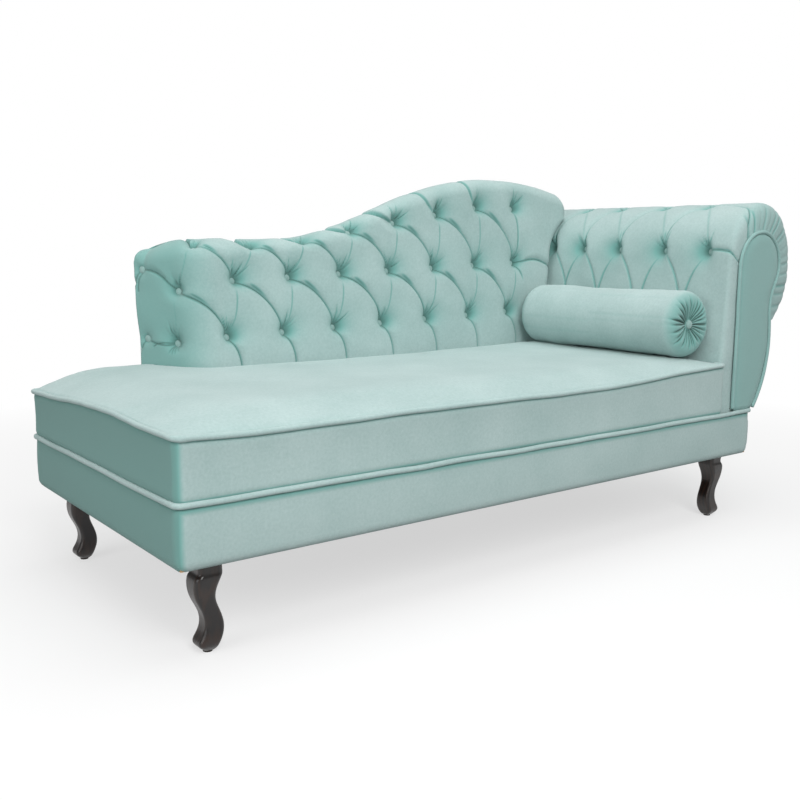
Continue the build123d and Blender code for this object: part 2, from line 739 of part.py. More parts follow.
def back_rows():
    """Places of the back's buttons on the pad's front, as rows from the top down."""
    top, middle, low = [], [], []
    for x in spaced(TUFT_TOP_FIRST_X, ARM_INNER - TUFT_TOP_LAST_TO_ARM, TUFT_COLUMNS):
        share = (x - WAVE_START + TUFT_TOP_WAVE_LEAD) / TUFT_TOP_WAVE_RUN
        share = min(max(share, 0.0), 1.0)
        swell = share * share * (3 - 2 * share)
        top.append((x, TUFT_TOP_LOW + (TUFT_TOP_HIGH - TUFT_TOP_LOW) * swell))
    columns = spaced(TUFT_MIDDLE_FIRST_X, ARM_INNER - TUFT_MIDDLE_LAST_TO_ARM, TUFT_COLUMNS)
    for index, x in enumerate(columns):
        middle.append((x, CROWN_Z + TUFT_MIDDLE_ABOVE_SEAT + TUFT_MIDDLE_CLIMB * index))
    columns = spaced(TUFT_LOW_FIRST_X, ARM_INNER - TUFT_LOW_LAST_TO_ARM, TUFT_COLUMNS)
    for index, x in enumerate(columns):
        low.append((x, CROWN_Z + TUFT_LOW_ABOVE_SEAT + TUFT_LOW_CLIMB * index))
    return top, middle, low


def back_places():
    """Button places and inward directions on the front face and the foot end of the back."""
    end_way = Vector(PAD_REAR - BACK_FRONT, BACK_END_SLANT, 0).normalized()
    corner_way = Vector(0, 1, 0).rotate(Axis.Z, -TUFT_CORNER_TURN)
    end_x = BACK_LEFT + BACK_END_SLANT * END_TUFT_SHARE
    end_y = PAD_REAR - (PAD_REAR - BACK_FRONT) * END_TUFT_SHARE
    places = []
    for row in back_rows():
        for index, (x, z) in enumerate(row):
            if index == 0:
                corner = back_corner_point(corner_way)
                places.append(((corner.X, corner.Y, z), tuple(corner_way)))
            else:
                places.append(((x, BACK_FRONT, z), (0, 1, 0)))
    for row, lift in zip(back_rows()[1:], (END_TUFT_LIFT, 0)):
        places.append(((end_x, end_y, row[0][1] + lift), tuple(end_way)))
    return places


def back_corner_point(way):
    """Point of the pad's rounded foot-end corner that faces against a direction."""
    corner_arc = back_plan().edges().filter_by(GeomType.CIRCLE)[0]
    return corner_arc.arc_center - way * BACK_END_ROUND


def back_creases():
    """Pleats of the back: slanting between rows, over the top and down to the seat."""
    top, middle, low = back_rows()
    runs = []
    for upper, lower in ((top, middle), (middle, low)):
        for index in range(1, TUFT_COLUMNS - 1):
            runs.append((upper[index], lower[index + 1]))
    for x, z in top[1:]:
        runs.append(((x, z), (x - TUFT_MOUTH / 2, BACK_HIGH_TOP)))
    for x, z in low[1:]:
        runs.append(((x, z), (x, SEAM_Z)))
    return [
        crease((a[0], BACK_FRONT, a[1]), (b[0], BACK_FRONT, b[1]), (0, 1, 0))
        for a, b in runs
    ]


def back_pad():
    """Tufted padding of the back, wrapped round its frame at the top and the foot end."""
    outline = along_y(back_outline(0, RAIL_TOP + BACK_FOOT_GAP), BACK_FRONT, PAD_REAR)
    pad = outline & along_z(back_plan(), RAIL_TOP, BACK_HIGH_TOP)
    upper = BACK_LOW_TOP - 2 * BACK_TOP_CORNER
    top_edges = [edge for edge in pad.edges() if edge.center().Z > upper]
    front_edges = [edge for edge in top_edges if edge.bounding_box().max.Y < PAD_REAR]
    pad = fillet(front_edges, BACK_EDGE_ROUND)
    room = along_y(frame_outline(0, 0), BOARD_FRONT, PAD_REAR)
    pad = pad - room - arm_room(SOFT_GAP, 0, BACK_REAR)
    tufts = [tuft(place, into, TUFT_DEPTH, TUFT_MOUTH) for place, into in back_places()]
    return pad - back_creases() - tufts


def back_buttons():
    """Covered buttons of the back."""
    return [
        button(place, into, TUFT_DEPTH, BUTTON_RADIUS, BUTTON_HEIGHT)
        for place, into in back_places()
    ]


# Back frame


def back_board():
    """Ply board that carries the padding."""
    board = along_y(frame_outline(SOFT_GAP, SOFT_GAP), BOARD_FRONT, POST_FRONT)
    return board - below(RAIL_TOP + BACK_FOOT_GAP)


def top_rail():
    """Wave-shaped rail under the padding's top edge."""
    under = frame_outline(SOFT_GAP + TOP_RAIL_HEIGHT, -SOFT_GAP)
    return along_y(frame_outline(SOFT_GAP, SOFT_GAP) - under, POST_FRONT, PAD_REAR)


def bottom_rail():
    """Rail that stands on the base's rear rail, bored for its lag screws."""
    low = (BACK_LEFT + FRAME_WRAP_END + SOFT_GAP, POST_FRONT, RAIL_TOP)
    high = (ARM_INNER - SOFT_GAP, PAD_REAR, RAIL_TOP + BOTTOM_RAIL_HEIGHT)
    return block(low, high) - back_lags(SCREW_GAP)


def posts():
    """Upright timbers between the bottom rail and the top rail."""
    under = along_y(frame_outline(SOFT_GAP + TOP_RAIL_HEIGHT, 0), POST_FRONT, PAD_REAR)
    first = BACK_LEFT + FRAME_WRAP_END + SOFT_GAP
    last = ARM_INNER - POST_WIDTH - SOFT_GAP
    foot_z = RAIL_TOP + BOTTOM_RAIL_HEIGHT
    solids = []
    for x in spaced(first, last, POST_COUNT):
        column = block((x, POST_FRONT, foot_z), (x + POST_WIDTH, PAD_REAR, BACK_HIGH_TOP))
        solids.append(column & under)
    return solids


def back_panel():
    """Covered panel over the rear of the back."""
    outline = back_outline(BACK_PANEL_INSET, RAIL_TOP + BACK_FOOT_GAP)
    return along_y(outline, PAD_REAR, BACK_REAR) - arm_room(SOFT_GAP, 0, BACK_REAR)


# Arm


def arm_columns():
    """Depths of the arm's tuft columns."""
    return [ARM_TUFT_FIRST_Y + ARM_TUFT_PITCH * index for index in range(ARM_TUFT_COLUMNS)]


def arm_places():
    """Button places and inward directions on the arm's roll; alternate rows stand between columns."""
    places = []
    for row, angle in enumerate(ARM_TUFT_ANGLES):
        out = Vector(cos(radians(angle)), 0, sin(radians(angle)))
        for y in arm_columns():
            place = Vector(ROLL_X, y + row * ARM_TUFT_PITCH / 2, ROLL_Z) + out * ROLL_RADIUS
            places.append((tuple(place), tuple(out * -1)))
    return places


def arm_creases():
    """Pleats of the arm: down the inner face, and round the roll as wedge-shaped rings."""
    foot, touch = arm_touch()
    lean = Vector(touch[0] - foot[0], 0, touch[1] - foot[1]).normalized()
    into = (lean.Z, 0, -lean.X)
    axis = Axis((ROLL_X, 0, ROLL_Z), (0, 1, 0))
    wedges = []
    for y in arm_columns():
        wedges.append(crease((touch[0], y, touch[1]), (foot[0], y, foot[1]), into))
        ring = Plane.YZ * Polygon(
            (y - CREASE_WIDTH / 2, ROLL_Z + ROLL_RADIUS + CUT_START),
            (y + CREASE_WIDTH / 2, ROLL_Z + ROLL_RADIUS + CUT_START),
            (y, ROLL_Z + ROLL_RADIUS - CREASE_DEPTH),
            align=None,
        )
        wedges.append(revolve(Pos(ROLL_X, 0, 0) * ring, axis, 360))
    return wedges


def arm_pad():
    """Tufted padding over the arm's inner face and roll."""
    pad = along_y(arm_outline(), FACING_THICKNESS, ARM_REAR)
    pad = pad - along_y(facing_outline(SOFT_GAP - ARM_SKIN), 0, BASE_DEPTH)
    front_arcs = pad.edges().group_by(Axis.Y)[0].filter_by(GeomType.CIRCLE)
    roll_arcs = [edge for edge in front_arcs if abs(edge.radius - ROLL_RADIUS) < SOFT_GAP]
    pad = fillet(roll_arcs, ARM_EDGE_ROUND)
    tufts = [tuft(place, into, ARM_TUFT_DEPTH, ARM_TUFT_MOUTH) for place, into in arm_places()]
    return pad - arm_creases() - tufts


def arm_buttons():
    """Covered buttons of the arm."""
    return [
        button(place, into, ARM_TUFT_DEPTH, BUTTON_RADIUS, BUTTON_HEIGHT)
        for place, into in arm_places()
    ]


def arm_board(y_front):
    """Shaped board at the front or the rear of the arm's frame."""
    board = along_y(facing_outline(-ARM_SKIN), y_front, y_front + ARM_BOARD)
    low = (FACE_INNER + ARM_SKIN, y_front, RAIL_TOP)
    board = board + block(low, (facing_foot(-ARM_SKIN), y_front + ARM_BOARD, SEAM_Z))
    return board - tube(base_welt_path(), WELT_RADIUS + SOFT_GAP)


def batten_run(low_x, low_z):
    """Batten between the arm's two boards, from its lower inner corner."""
    low = (low_x, ARM_BOARD_REAR, low_z)
    high = (low_x + BATTEN_WIDTH, ARM_REAR - ARM_BOARD, low_z + BATTEN_HEIGHT)
    return block(low, high)


def arm_battens():
    """Foot batten on the right rail, and two more up the arm."""
    foot = batten_run(BASE_LENGTH - RAIL_IN - BATTEN_WIDTH / 2, RAIL_TOP) - arm_lags(SCREW_GAP)
    side_x = FACE_INNER + ARM_SKIN + INNER_PANEL
    middle = batten_run(side_x, (SEAM_Z + SCROLL_Z) / 2)
    upper = batten_run(side_x, SCROLL_Z - BATTEN_HEIGHT)
    return [foot, middle, upper]


def arm_inner_panel():
    """Flat panel behind the inner padding, between the boards."""
    low = (FACE_INNER + ARM_SKIN, ARM_BOARD_REAR, DECK_Z + SOFT_GAP)
    return block(low, (FACE_INNER + ARM_SKIN + INNER_PANEL, ARM_REAR - ARM_BOARD, SCROLL_Z))


def roll_former():
    """Bent sheet that gives the roll its round, on top of the inner panel."""
    outer = SCROLL_RADIUS - ARM_SKIN
    ring = Pos(SCROLL_X, SCROLL_Z) * (Circle(outer) - Circle(outer - ROLL_FORMER))
    upper = Pos(SCROLL_X, SCROLL_Z + outer / 2) * Rectangle(2 * outer, outer)
    return along_y(ring & upper, ARM_BOARD_REAR, ARM_REAR - ARM_BOARD)


def arm_outside_cover():
    """Covered belly on the outside of the arm, below the roll."""
    skin = facing_outline(0) - facing_outline(SOFT_GAP - ARM_SKIN)
    under = ROLL_Z - ROLL_DROP - ROLL_RADIUS * sin(radians(ROLL_TURN_UNDER)) - SOFT_GAP
    low = (SCROLL_X, FACING_THICKNESS, ABOVE_WELT_Z)
    window = block(low, (BASE_LENGTH + ARM_OVERHANG, ARM_REAR, under))
    return along_y(skin, FACING_THICKNESS, ARM_REAR) & window


def arm_facing():
    """Flat covered panel on the front of the arm, with a softened edge."""
    panel = along_y(facing_outline(0), 0, FACING_THICKNESS)
    panel = fillet(panel.edges().group_by(Axis.Y)[0], FACING_ROUND)
    return panel - facing_cord(FACING_WELT_RADIUS + SOFT_GAP) - below(ABOVE_WELT_Z)


def facing_cord(radius):
    """Round cord along the edge of the arm's front panel."""
    path = Wire([Plane.XZ * edge for edge in facing_edge(FACING_WELT_RADIUS + SOFT_GAP)])
    return tube(Pos(0, FACING_THICKNESS / 2, 0) * path, radius)


def facing_welt():
    """Piping round the arm's front panel, down to the base's own piping."""
    return facing_cord(FACING_WELT_RADIUS) - below(ABOVE_WELT_Z)


def arm_rear_panel():
    """Covered panel that closes the rear of the arm."""
    shape = facing_outline(0) + arm_outline()
    return along_y(shape, ARM_REAR, BASE_DEPTH) - below(ABOVE_WELT_Z)


# Bolster


def bolster_axis():
    """Centre of the bolster, seen from the front: on the seat and against the arm's inner face."""
    foot, touch = arm_touch()
    lean = atan2(touch[0] - foot[0], touch[1] - foot[1])
    reach = BOLSTER_RADIUS + BOLSTER_CROWN + SOFT_GAP
    z = CROWN_Z + reach
    along = (z - foot[1] - reach * sin(lean)) / cos(lean)
    return foot[0] + along * sin(lean) - reach * cos(lean), z


def bolster_body(inset):
    """Stuffed roll with a slight crown, rounded ends and a drawn-in end centre."""
    half = BOLSTER_LENGTH / 2 - inset
    radius = BOLSTER_RADIUS - inset
    turn = BOLSTER_END_ROUND
    dimple = half - BOLSTER_END_SWELL
    shoulder = half - turn
    rim = radius - turn
    bend = sin(radians(45))
    edges = [
        Line((0, -dimple), (BOLSTER_BUTTON_RADIUS, -dimple)),
        Line((BOLSTER_BUTTON_RADIUS, -dimple), (rim, -half)),
        ThreePointArc((rim, -half), (rim + turn * bend, -shoulder - turn * bend), (radius, -shoulder)),
        ThreePointArc((radius, -shoulder), (radius + BOLSTER_CROWN, 0), (radius, shoulder)),
        ThreePointArc((radius, shoulder), (rim + turn * bend, shoulder + turn * bend), (rim, half)),
        Line((rim, half), (BOLSTER_BUTTON_RADIUS, dimple)),
        Line((BOLSTER_BUTTON_RADIUS, dimple), (0, dimple)),
        Line((0, dimple), (0, -dimple)),
    ]
    x, z = bolster_axis()
    place = Pos(x, BOLSTER_FRONT + BOLSTER_LENGTH / 2, z)
    return place * revolve(make_face(edges), Axis.Y, 360)


def bolster_buttons():
    """Covered button at the centre of each end."""
    x, z = bolster_axis()
    front = BOLSTER_FRONT + BOLSTER_END_SWELL
    rear = BOLSTER_FRONT + BOLSTER_LENGTH - BOLSTER_END_SWELL
    size = (BOLSTER_BUTTON_RADIUS - SOFT_GAP, BOLSTER_BUTTON_HEIGHT)
    return [
        button((x, front, z), (0, 1, 0), 0, *size),
        button((x, rear, z), (0, -1, 0), 0, *size),
    ]


def build_nodes():
    """Every node of the recamier by name, in the bench frame."""
    studs, screws, plates = leg_tops()
    nodes = {
        "base_front_rail": [long_rail(APRON_PADDING)],
        "base_rear_rail": [long_rail(BASE_DEPTH - RAIL_IN)],
        "base_left_rail": [end_rail(APRON_PADDING)],
        "base_right_rail": [end_rail(BASE_LENGTH - RAIL_IN)],
        "base_cross_rails": cross_rails(),
        "base_corner_blocks": corner_blocks(),
        "base_rail_screws": rail_screws(),
        "base_cover": [base_cover()],
        "base_dust_cover": [dust_cover()],
        "base_welt": [tube(base_welt_path(), WELT_RADIUS)],
        "seat_rear_bearer": [rear_bearer()],
        "seat_arm_bearer": [arm_bearer()],
        "seat_webbing": webbing(),
        "seat_foam": [seat_foam()],
        "seat_cover": [seat_cover()],
        "seat_welt": [tube(seat_welt_path(), WELT_RADIUS)],
        "back_board": [back_board()],
        "back_posts": posts(),
        "back_top_rail": [top_rail()],
        "back_bottom_rail": [bottom_rail()],
        "back_lag_screws": back_lags(),
        "back_pad": [back_pad()],
        "back_buttons": back_buttons(),
        "back_panel": [back_panel()],
        "arm_front_board": [arm_board(FACING_THICKNESS)],
        "arm_rear_board": [arm_board(ARM_REAR - ARM_BOARD)],
        "arm_battens": arm_battens(),
        "arm_inner_panel": [arm_inner_panel()],
        "arm_roll_former": [roll_former()],
        "arm_lag_screws": arm_lags(),
        "arm_pad": [arm_pad()],
        "arm_buttons": arm_buttons(),
        "arm_outside_cover": [arm_outside_cover()],
        "arm_facing": [arm_facing()],
        "arm_facing_welt": [facing_welt()],
        "arm_rear_panel": [arm_rear_panel()],
        "bolster_filling": [bolster_body(BOLSTER_COVER)],
        "bolster_cover": [bolster_body(0) - bolster_body(BOLSTER_COVER)],
        "bolster_buttons": bolster_buttons(),
        "leg_plates": plates,
        "leg_plate_screws": screws,
        "leg_studs": studs,
        "leg_glides": glides(),
    }
    for name, x, y, outward in LEGS:
        nodes[name] = [cabriole_leg(x, y, outward)]
    return nodes


os.makedirs("parts", exist_ok=True)
for node_name, node_solids in build_nodes().items():
    export_step(PLACE * group(node_solids), f"parts/{node_name}.step")
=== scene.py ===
"""Looks of a tufted velvet recamier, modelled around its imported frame.

Lengths are metres in the part's own frame: X runs to the scrolled arm, Y to the rear and Z up.
Padded faces are fine meshes that pleats and buttons draw in, and a short cloth simulation swells the
top of the seat.
"""

import json
import logging
import math
from dataclasses import dataclass
from enum import Enum
from typing import Optional, Sequence

import bmesh
import bpy
import numpy as np
from mathutils import Matrix, Vector


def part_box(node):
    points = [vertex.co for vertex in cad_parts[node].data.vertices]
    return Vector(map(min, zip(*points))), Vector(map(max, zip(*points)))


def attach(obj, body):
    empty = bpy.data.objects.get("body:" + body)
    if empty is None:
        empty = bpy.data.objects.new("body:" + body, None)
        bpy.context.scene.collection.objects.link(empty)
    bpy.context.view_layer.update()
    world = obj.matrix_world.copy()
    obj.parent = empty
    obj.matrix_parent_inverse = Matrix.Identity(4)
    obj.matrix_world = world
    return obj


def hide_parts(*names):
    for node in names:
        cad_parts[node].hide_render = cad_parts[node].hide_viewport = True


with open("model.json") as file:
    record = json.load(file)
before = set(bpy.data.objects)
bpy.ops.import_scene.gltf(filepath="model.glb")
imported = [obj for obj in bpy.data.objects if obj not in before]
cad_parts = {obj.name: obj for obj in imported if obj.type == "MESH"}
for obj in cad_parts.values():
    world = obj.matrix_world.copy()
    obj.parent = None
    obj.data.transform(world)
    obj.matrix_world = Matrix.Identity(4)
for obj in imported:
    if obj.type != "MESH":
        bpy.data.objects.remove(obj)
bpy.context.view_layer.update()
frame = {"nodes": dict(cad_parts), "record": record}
MERGE = 1e-5
TINY = 1e-9
LEAST_RUN = 1e-6
PANEL_FULLNESS = 1.8
PANEL_GAP = 0.0005
WHITE = (1.0, 1.0, 1.0, 1.0)
QUARTER_TURN = math.pi / 2.0
CORNER_POINTS = 8
PIPING_SIDES = 12
WAVE_ORDERS = 5
WAVE_PEAK = 1.6
ASKEW = np.array([0.31, 0.17, 0.93])
log = logging.getLogger("recamier")

Array = np.ndarray
Piece = bpy.types.Object
Colour = tuple[float, float, float]
Point = tuple[float, float]
Pair = tuple[Array, Array]
Material = bpy.types.Material
Node = bpy.types.Node
Socket = bpy.types.NodeSocket
NodeTree = bpy.types.NodeTree


class Body(Enum):
    """Bodies of the frame that a piece can ride on."""

    SOFA = "recamier"
    BOLSTER = "bolster"


class Slot(Enum):
    """Finishes that the part's record names."""

    VELVET = "velvet"
    BUTTON_VELVET = "button_velvet"
    DARK_WOOD = "dark_wood"
    FRAME_TIMBER = "frame_timber"
    PLYWOOD = "plywood"
    FOAM = "foam"
    WEBBING = "webbing"
    DUST_CLOTH = "dust_cloth"
    ZINC_STEEL = "zinc_steel"
    BLACK_PLATE = "black_plate"
    FELT = "felt"


# Number helpers


def ramp(value: Array, low: float, high: float) -> Array:
    """Smooth step from 0 at low to 1 at high."""
    share = np.clip((value - low) / (high - low), 0.0, 1.0)
    return share * share * (3.0 - 2.0 * share)


def dome(distance: Array, run: float, fullness: float = 1.6) -> Array:
    """Rise of a stuffed edge, from 0 at the seam to 1 at a run away from it."""
    share = 1.0 - np.clip(distance / run, 0.0, 1.0)
    return (1.0 - share**fullness) ** (1.0 / fullness)


def round_off(distance: Array, radius: Array | float) -> Array:
    """Drop of a rounded corner, from the radius at the edge to 0 a radius away."""
    into = np.clip(radius - distance, 0.0, radius)
    return radius - np.sqrt(radius**2 - into**2)


def ripple(x: Array, y: Array, length: float, seed: int) -> Array:
    """Gentle seeded waves over a surface, between about -1 and 1.

    Args:
        x, y: places on the surface.
        length: longest wave.
        seed: which set of waves.

    Returns:
        The height of the waves at each place.
    """
    draw = np.random.default_rng(seed)
    total = np.zeros(np.broadcast(x, y).shape)
    for order in range(1, WAVE_ORDERS + 1):
        heading = draw.uniform(0.0, math.tau)
        phase = draw.uniform(0.0, math.tau)
        along = x * math.cos(heading) + y * math.sin(heading)
        total += np.sin(math.tau * order * along / length + phase) / order
    return total / WAVE_PEAK


def stacked(*parts: Array | float) -> Array:
    """Points from their coordinates, each an array or one value for all."""
    return np.stack(np.broadcast_arrays(*parts), -1)


def ray(angle: Array | float) -> Array:
    """Unit direction at an angle, or at each of several."""
    return stacked(np.cos(angle), np.sin(angle))


def graded(low: float, high: float, step: float, fine: float = 0.003, margin: float = 0.024) -> Array:
    """Places from low to high, close together near both ends.

    Args:
        low, high: first and last place.
        step: spacing in the middle.
        fine: spacing near the ends.
        margin: width of each fine stretch.

    Returns:
        The places in rising order.
    """
    edge = np.arange(0.0, margin, fine)
    count = max(2, round((high - low - 2.0 * margin) / step) + 1)
    middle = np.linspace(margin, high - low - margin, count)
    return low + np.concatenate([edge, middle, (high - low) - edge[::-1]])


def tangent_arc(start: Array, heading: Array, end: Array, count: int) -> Pair:
    """Arc that leaves a point along a heading and reaches another point.

    Args:
        start, end: its two ends.
        heading: unit direction at the start.
        count: number of points.

    Returns:
        The points, and the heading at the end.
    """
    chord = end - start
    normal = np.array([-heading[1], heading[0]])
    radius = chord @ chord / (2.0 * chord @ normal)
    centre = start + normal * radius
    first = math.atan2(*(start - centre)[::-1])
    last = math.atan2(*(end - centre)[::-1])
    sweep = (last - first + math.pi) % math.tau - math.pi
    angles = first + sweep * np.linspace(0.0, 1.0, count)
    turned = heading * math.cos(sweep) + normal * math.sin(sweep)
    return centre + abs(radius) * ray(angles), turned


def resample(points: Array, step: float) -> Array:
    """Evenly spaced points along a polyline.

    Args:
        points: the polyline.
        step: distance between points.

    Returns:
        The new points.
    """
    lengths = np.concatenate([[0.0], np.cumsum(np.linalg.norm(np.diff(points, axis=0), axis=1))])
    wanted = np.linspace(0.0, lengths[-1], max(2, round(lengths[-1] / step) + 1))
    return np.stack([np.interp(wanted, lengths, points[:, axis]) for axis in range(points.shape[1])], -1)


def rounded_path(corners: Sequence[Point], radius: float, step: float, closed: bool = False) -> Array:
    """Plan line through corner points, with each turn rounded.

    Args:
        corners: the sharp corners, in order.
        radius: rounding of each right-angled turn.
        step: spacing of the points.
        closed: whether the last corner joins the first.

    Returns:
        Evenly spaced points.
    """
    corner = [np.array(point, float) for point in corners]
    count = len(corner)
    line = [] if closed else [corner[0]]
    for index in range(count) if closed else range(1, count - 1):
        here = corner[index]
        back = corner[index - 1] - here
        ahead = corner[(index + 1) % count] - here
        back /= np.linalg.norm(back)
        ahead /= np.linalg.norm(ahead)
        centre = here + radius * (back + ahead)
        for turn in np.linspace(0.0, QUARTER_TURN, CORNER_POINTS):
            line.append(centre - radius * (ahead * math.cos(turn) + back * math.sin(turn)))
    line.append(line[0] if closed else corner[-1])
    return resample(np.array(line), step)


# Mesh helpers


def quads(rows: int, cols: int, wrap_rows: bool = False, wrap_cols: bool = False) -> Array:
    """Faces of a grid of points, row by row.

    Args:
        rows, cols: size of the grid.
        wrap_rows, wrap_cols: whether the last row or column joins the first.

    Returns:
        Four indices for each face.
    """
    index = np.arange(rows * cols).reshape(rows, cols)
    if wrap_rows:
        index = np.vstack([index, index[:1]])
    if wrap_cols:
        index = np.hstack([index, index[:, :1]])
    ring = [index[:-1, :-1], index[:-1, 1:], index[1:, 1:], index[1:, :-1]]
    return np.stack(ring, -1).reshape(-1, 4)


def rim_loop(rows: int, cols: int) -> Array:
    """Indices round the edge of a grid of points, along its first row first.

    Args:
        rows, cols: size of the grid.

    Returns:
        The indices.
    """
    return np.concatenate([
        np.arange(cols),
        np.arange(1, rows) * cols + cols - 1,
        (rows - 1) * cols + np.arange(cols - 2, -1, -1),
        np.arange(rows - 2, 0, -1) * cols,
    ])


def closed_piece(name: str, points: Array, faces: Array, painted_shade: Array) -> Piece:
    """Closed, smooth-shaded mesh object from points and faces.

    Args:
        name: name of the piece.
        points: vertices, in any grid shape.
        faces: indices into the flattened vertices.
        painted_shade: painted shade at each vertex, from 0 to 1, which the velvet turns into darker colour.

    Returns:
        The object, linked to the scene, with its seams merged and its normals pointing out.
    """
    mesh = bpy.data.meshes.new(name)
    mesh.from_pydata(points.reshape(-1, 3).tolist(), [], faces.tolist())
    # Painted shade per vertex, which the velvet turns into darker colour.
    layer = mesh.attributes.new("painted_shade", "FLOAT", "POINT")
    layer.data.foreach_set("value", painted_shade.reshape(-1).astype(np.float32))
    shell = bmesh.new()
    shell.from_mesh(mesh)
    bmesh.ops.remove_doubles(shell, verts=shell.verts, dist=MERGE)
    bmesh.ops.dissolve_degenerate(shell, edges=shell.edges, dist=MERGE)
    open_edges = [edge for edge in shell.edges if edge.is_boundary]
    bmesh.ops.holes_fill(shell, edges=open_edges)
    bmesh.ops.recalc_face_normals(shell, faces=shell.faces)
    shell.to_mesh(mesh)
    shell.free()
    mesh.shade_smooth()
    piece = bpy.data.objects.new(name, mesh)
    bpy.context.scene.collection.objects.link(piece)
    return piece


def tube(name: str, path: Array, radius: Array | float, shade_level: float = 0.0) -> Piece:
    """Round piping along a path of points, closed at both ends.

    Args:
        name: name of the piece.
        path: points of the centre line.
        radius: radius of the piping, one for all or one for each point.
        shade_level: painted shade, the same over the whole piping, from 0 to 1.

    Returns:
        The piping.
    """
    heading = np.gradient(path, axis=0)
    heading /= np.linalg.norm(heading, axis=1)[:, None]
    side = np.cross(heading, heading[0] + ASKEW)
    side[0] /= np.linalg.norm(side[0])
    for index in range(1, len(path)):
        kept = side[index - 1] - heading[index] * (side[index - 1] @ heading[index])
        side[index] = kept / np.linalg.norm(kept)
    other = np.cross(heading, side)
    turn = np.linspace(0.0, math.tau, PIPING_SIDES, endpoint=False)
    ring = np.cos(turn)[None, :, None] * side[:, None] + np.sin(turn)[None, :, None] * other[:, None]
    points = path[:, None] + np.reshape(radius, (-1, 1, 1)) * ring
    # Painted shade, the same on every vertex.
    shade = np.full(points.shape[:2], shade_level)
    return closed_piece(name, points, quads(len(path), PIPING_SIDES, wrap_cols=True), shade)


def active_only(piece: Piece) -> None:
    """Makes a piece the only selected and active object.

    Args:
        piece: the piece.
    """
    bpy.ops.object.select_all(action="DESELECT")
    piece.select_set(True)
    bpy.context.view_layer.objects.active = piece


def dress(
    piece: Piece,
    material: Material,
    replaces: Sequence[str],
    body: Body = Body.SOFA,
) -> None:
    """Gives a piece its finish, its body and the nodes that it stands for.

    Args:
        piece: the finished object.
        material: its finish.
        replaces: CAD nodes that it hides.
        body: what it moves with.
    """
    piece.data.materials.clear()
    piece.data.materials.append(material)
    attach(piece, body.value)
    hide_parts(*replaces)
    log.info("%s stands for %s", piece.name, ", ".join(replaces))


@dataclass(frozen=True)
class Swelling:
    """Short cloth simulation that fills a cushion with air."""

    pressure: float = 4.0
    frames: int = 20
    quality: int = 5
    mass: float = 0.3
    cap: float = 0.003

    def apply(self, piece: Piece, held: Array) -> None:
        """Swells a piece in place.

        Args:
            piece: closed mesh.
            held: from 0, free, to 1, sewn down, for each vertex.
        """
        mesh = piece.data
        before = read_points(mesh)
        group = piece.vertex_groups.new(name="held")
        for index in np.nonzero(held > 0.0)[0]:
            group.add([int(index)], float(held[index]), "REPLACE")
        cloth = piece.modifiers.new("cloth", "CLOTH")
        cloth.settings.quality = self.quality
        cloth.settings.mass = self.mass
        cloth.settings.use_pressure = True
        cloth.settings.uniform_pressure_force = self.pressure
        cloth.settings.effector_weights.gravity = 0.0
        cloth.settings.vertex_group_mass = group.name
        cloth.point_cache.frame_start = 1
        cloth.point_cache.frame_end = self.frames
        for number in range(1, self.frames + 1):
            bpy.context.scene.frame_set(number)
        swollen = piece.evaluated_get(bpy.context.evaluated_depsgraph_get())
        after = read_points(swollen.data)
        piece.modifiers.remove(cloth)
        piece.vertex_groups.remove(group)
        bpy.context.scene.frame_set(1)
        move = after - before
        length = np.linalg.norm(move, axis=1, keepdims=True)
        move *= np.minimum(1.0, self.cap / np.maximum(length, TINY))
        mesh.vertices.foreach_set("co", (before + move).astype(np.float32).ravel())
        mesh.update()


def read_points(mesh: bpy.types.Mesh) -> Array:
    """Vertices of a mesh as an array.

    Args:
        mesh: the mesh.

    Returns:
        One row for each vertex.
    """
    flat = np.zeros(len(mesh.vertices) * 3, np.float32)
    mesh.vertices.foreach_get("co", flat)
    return flat.reshape(-1, 3).astype(float)


# Finishes


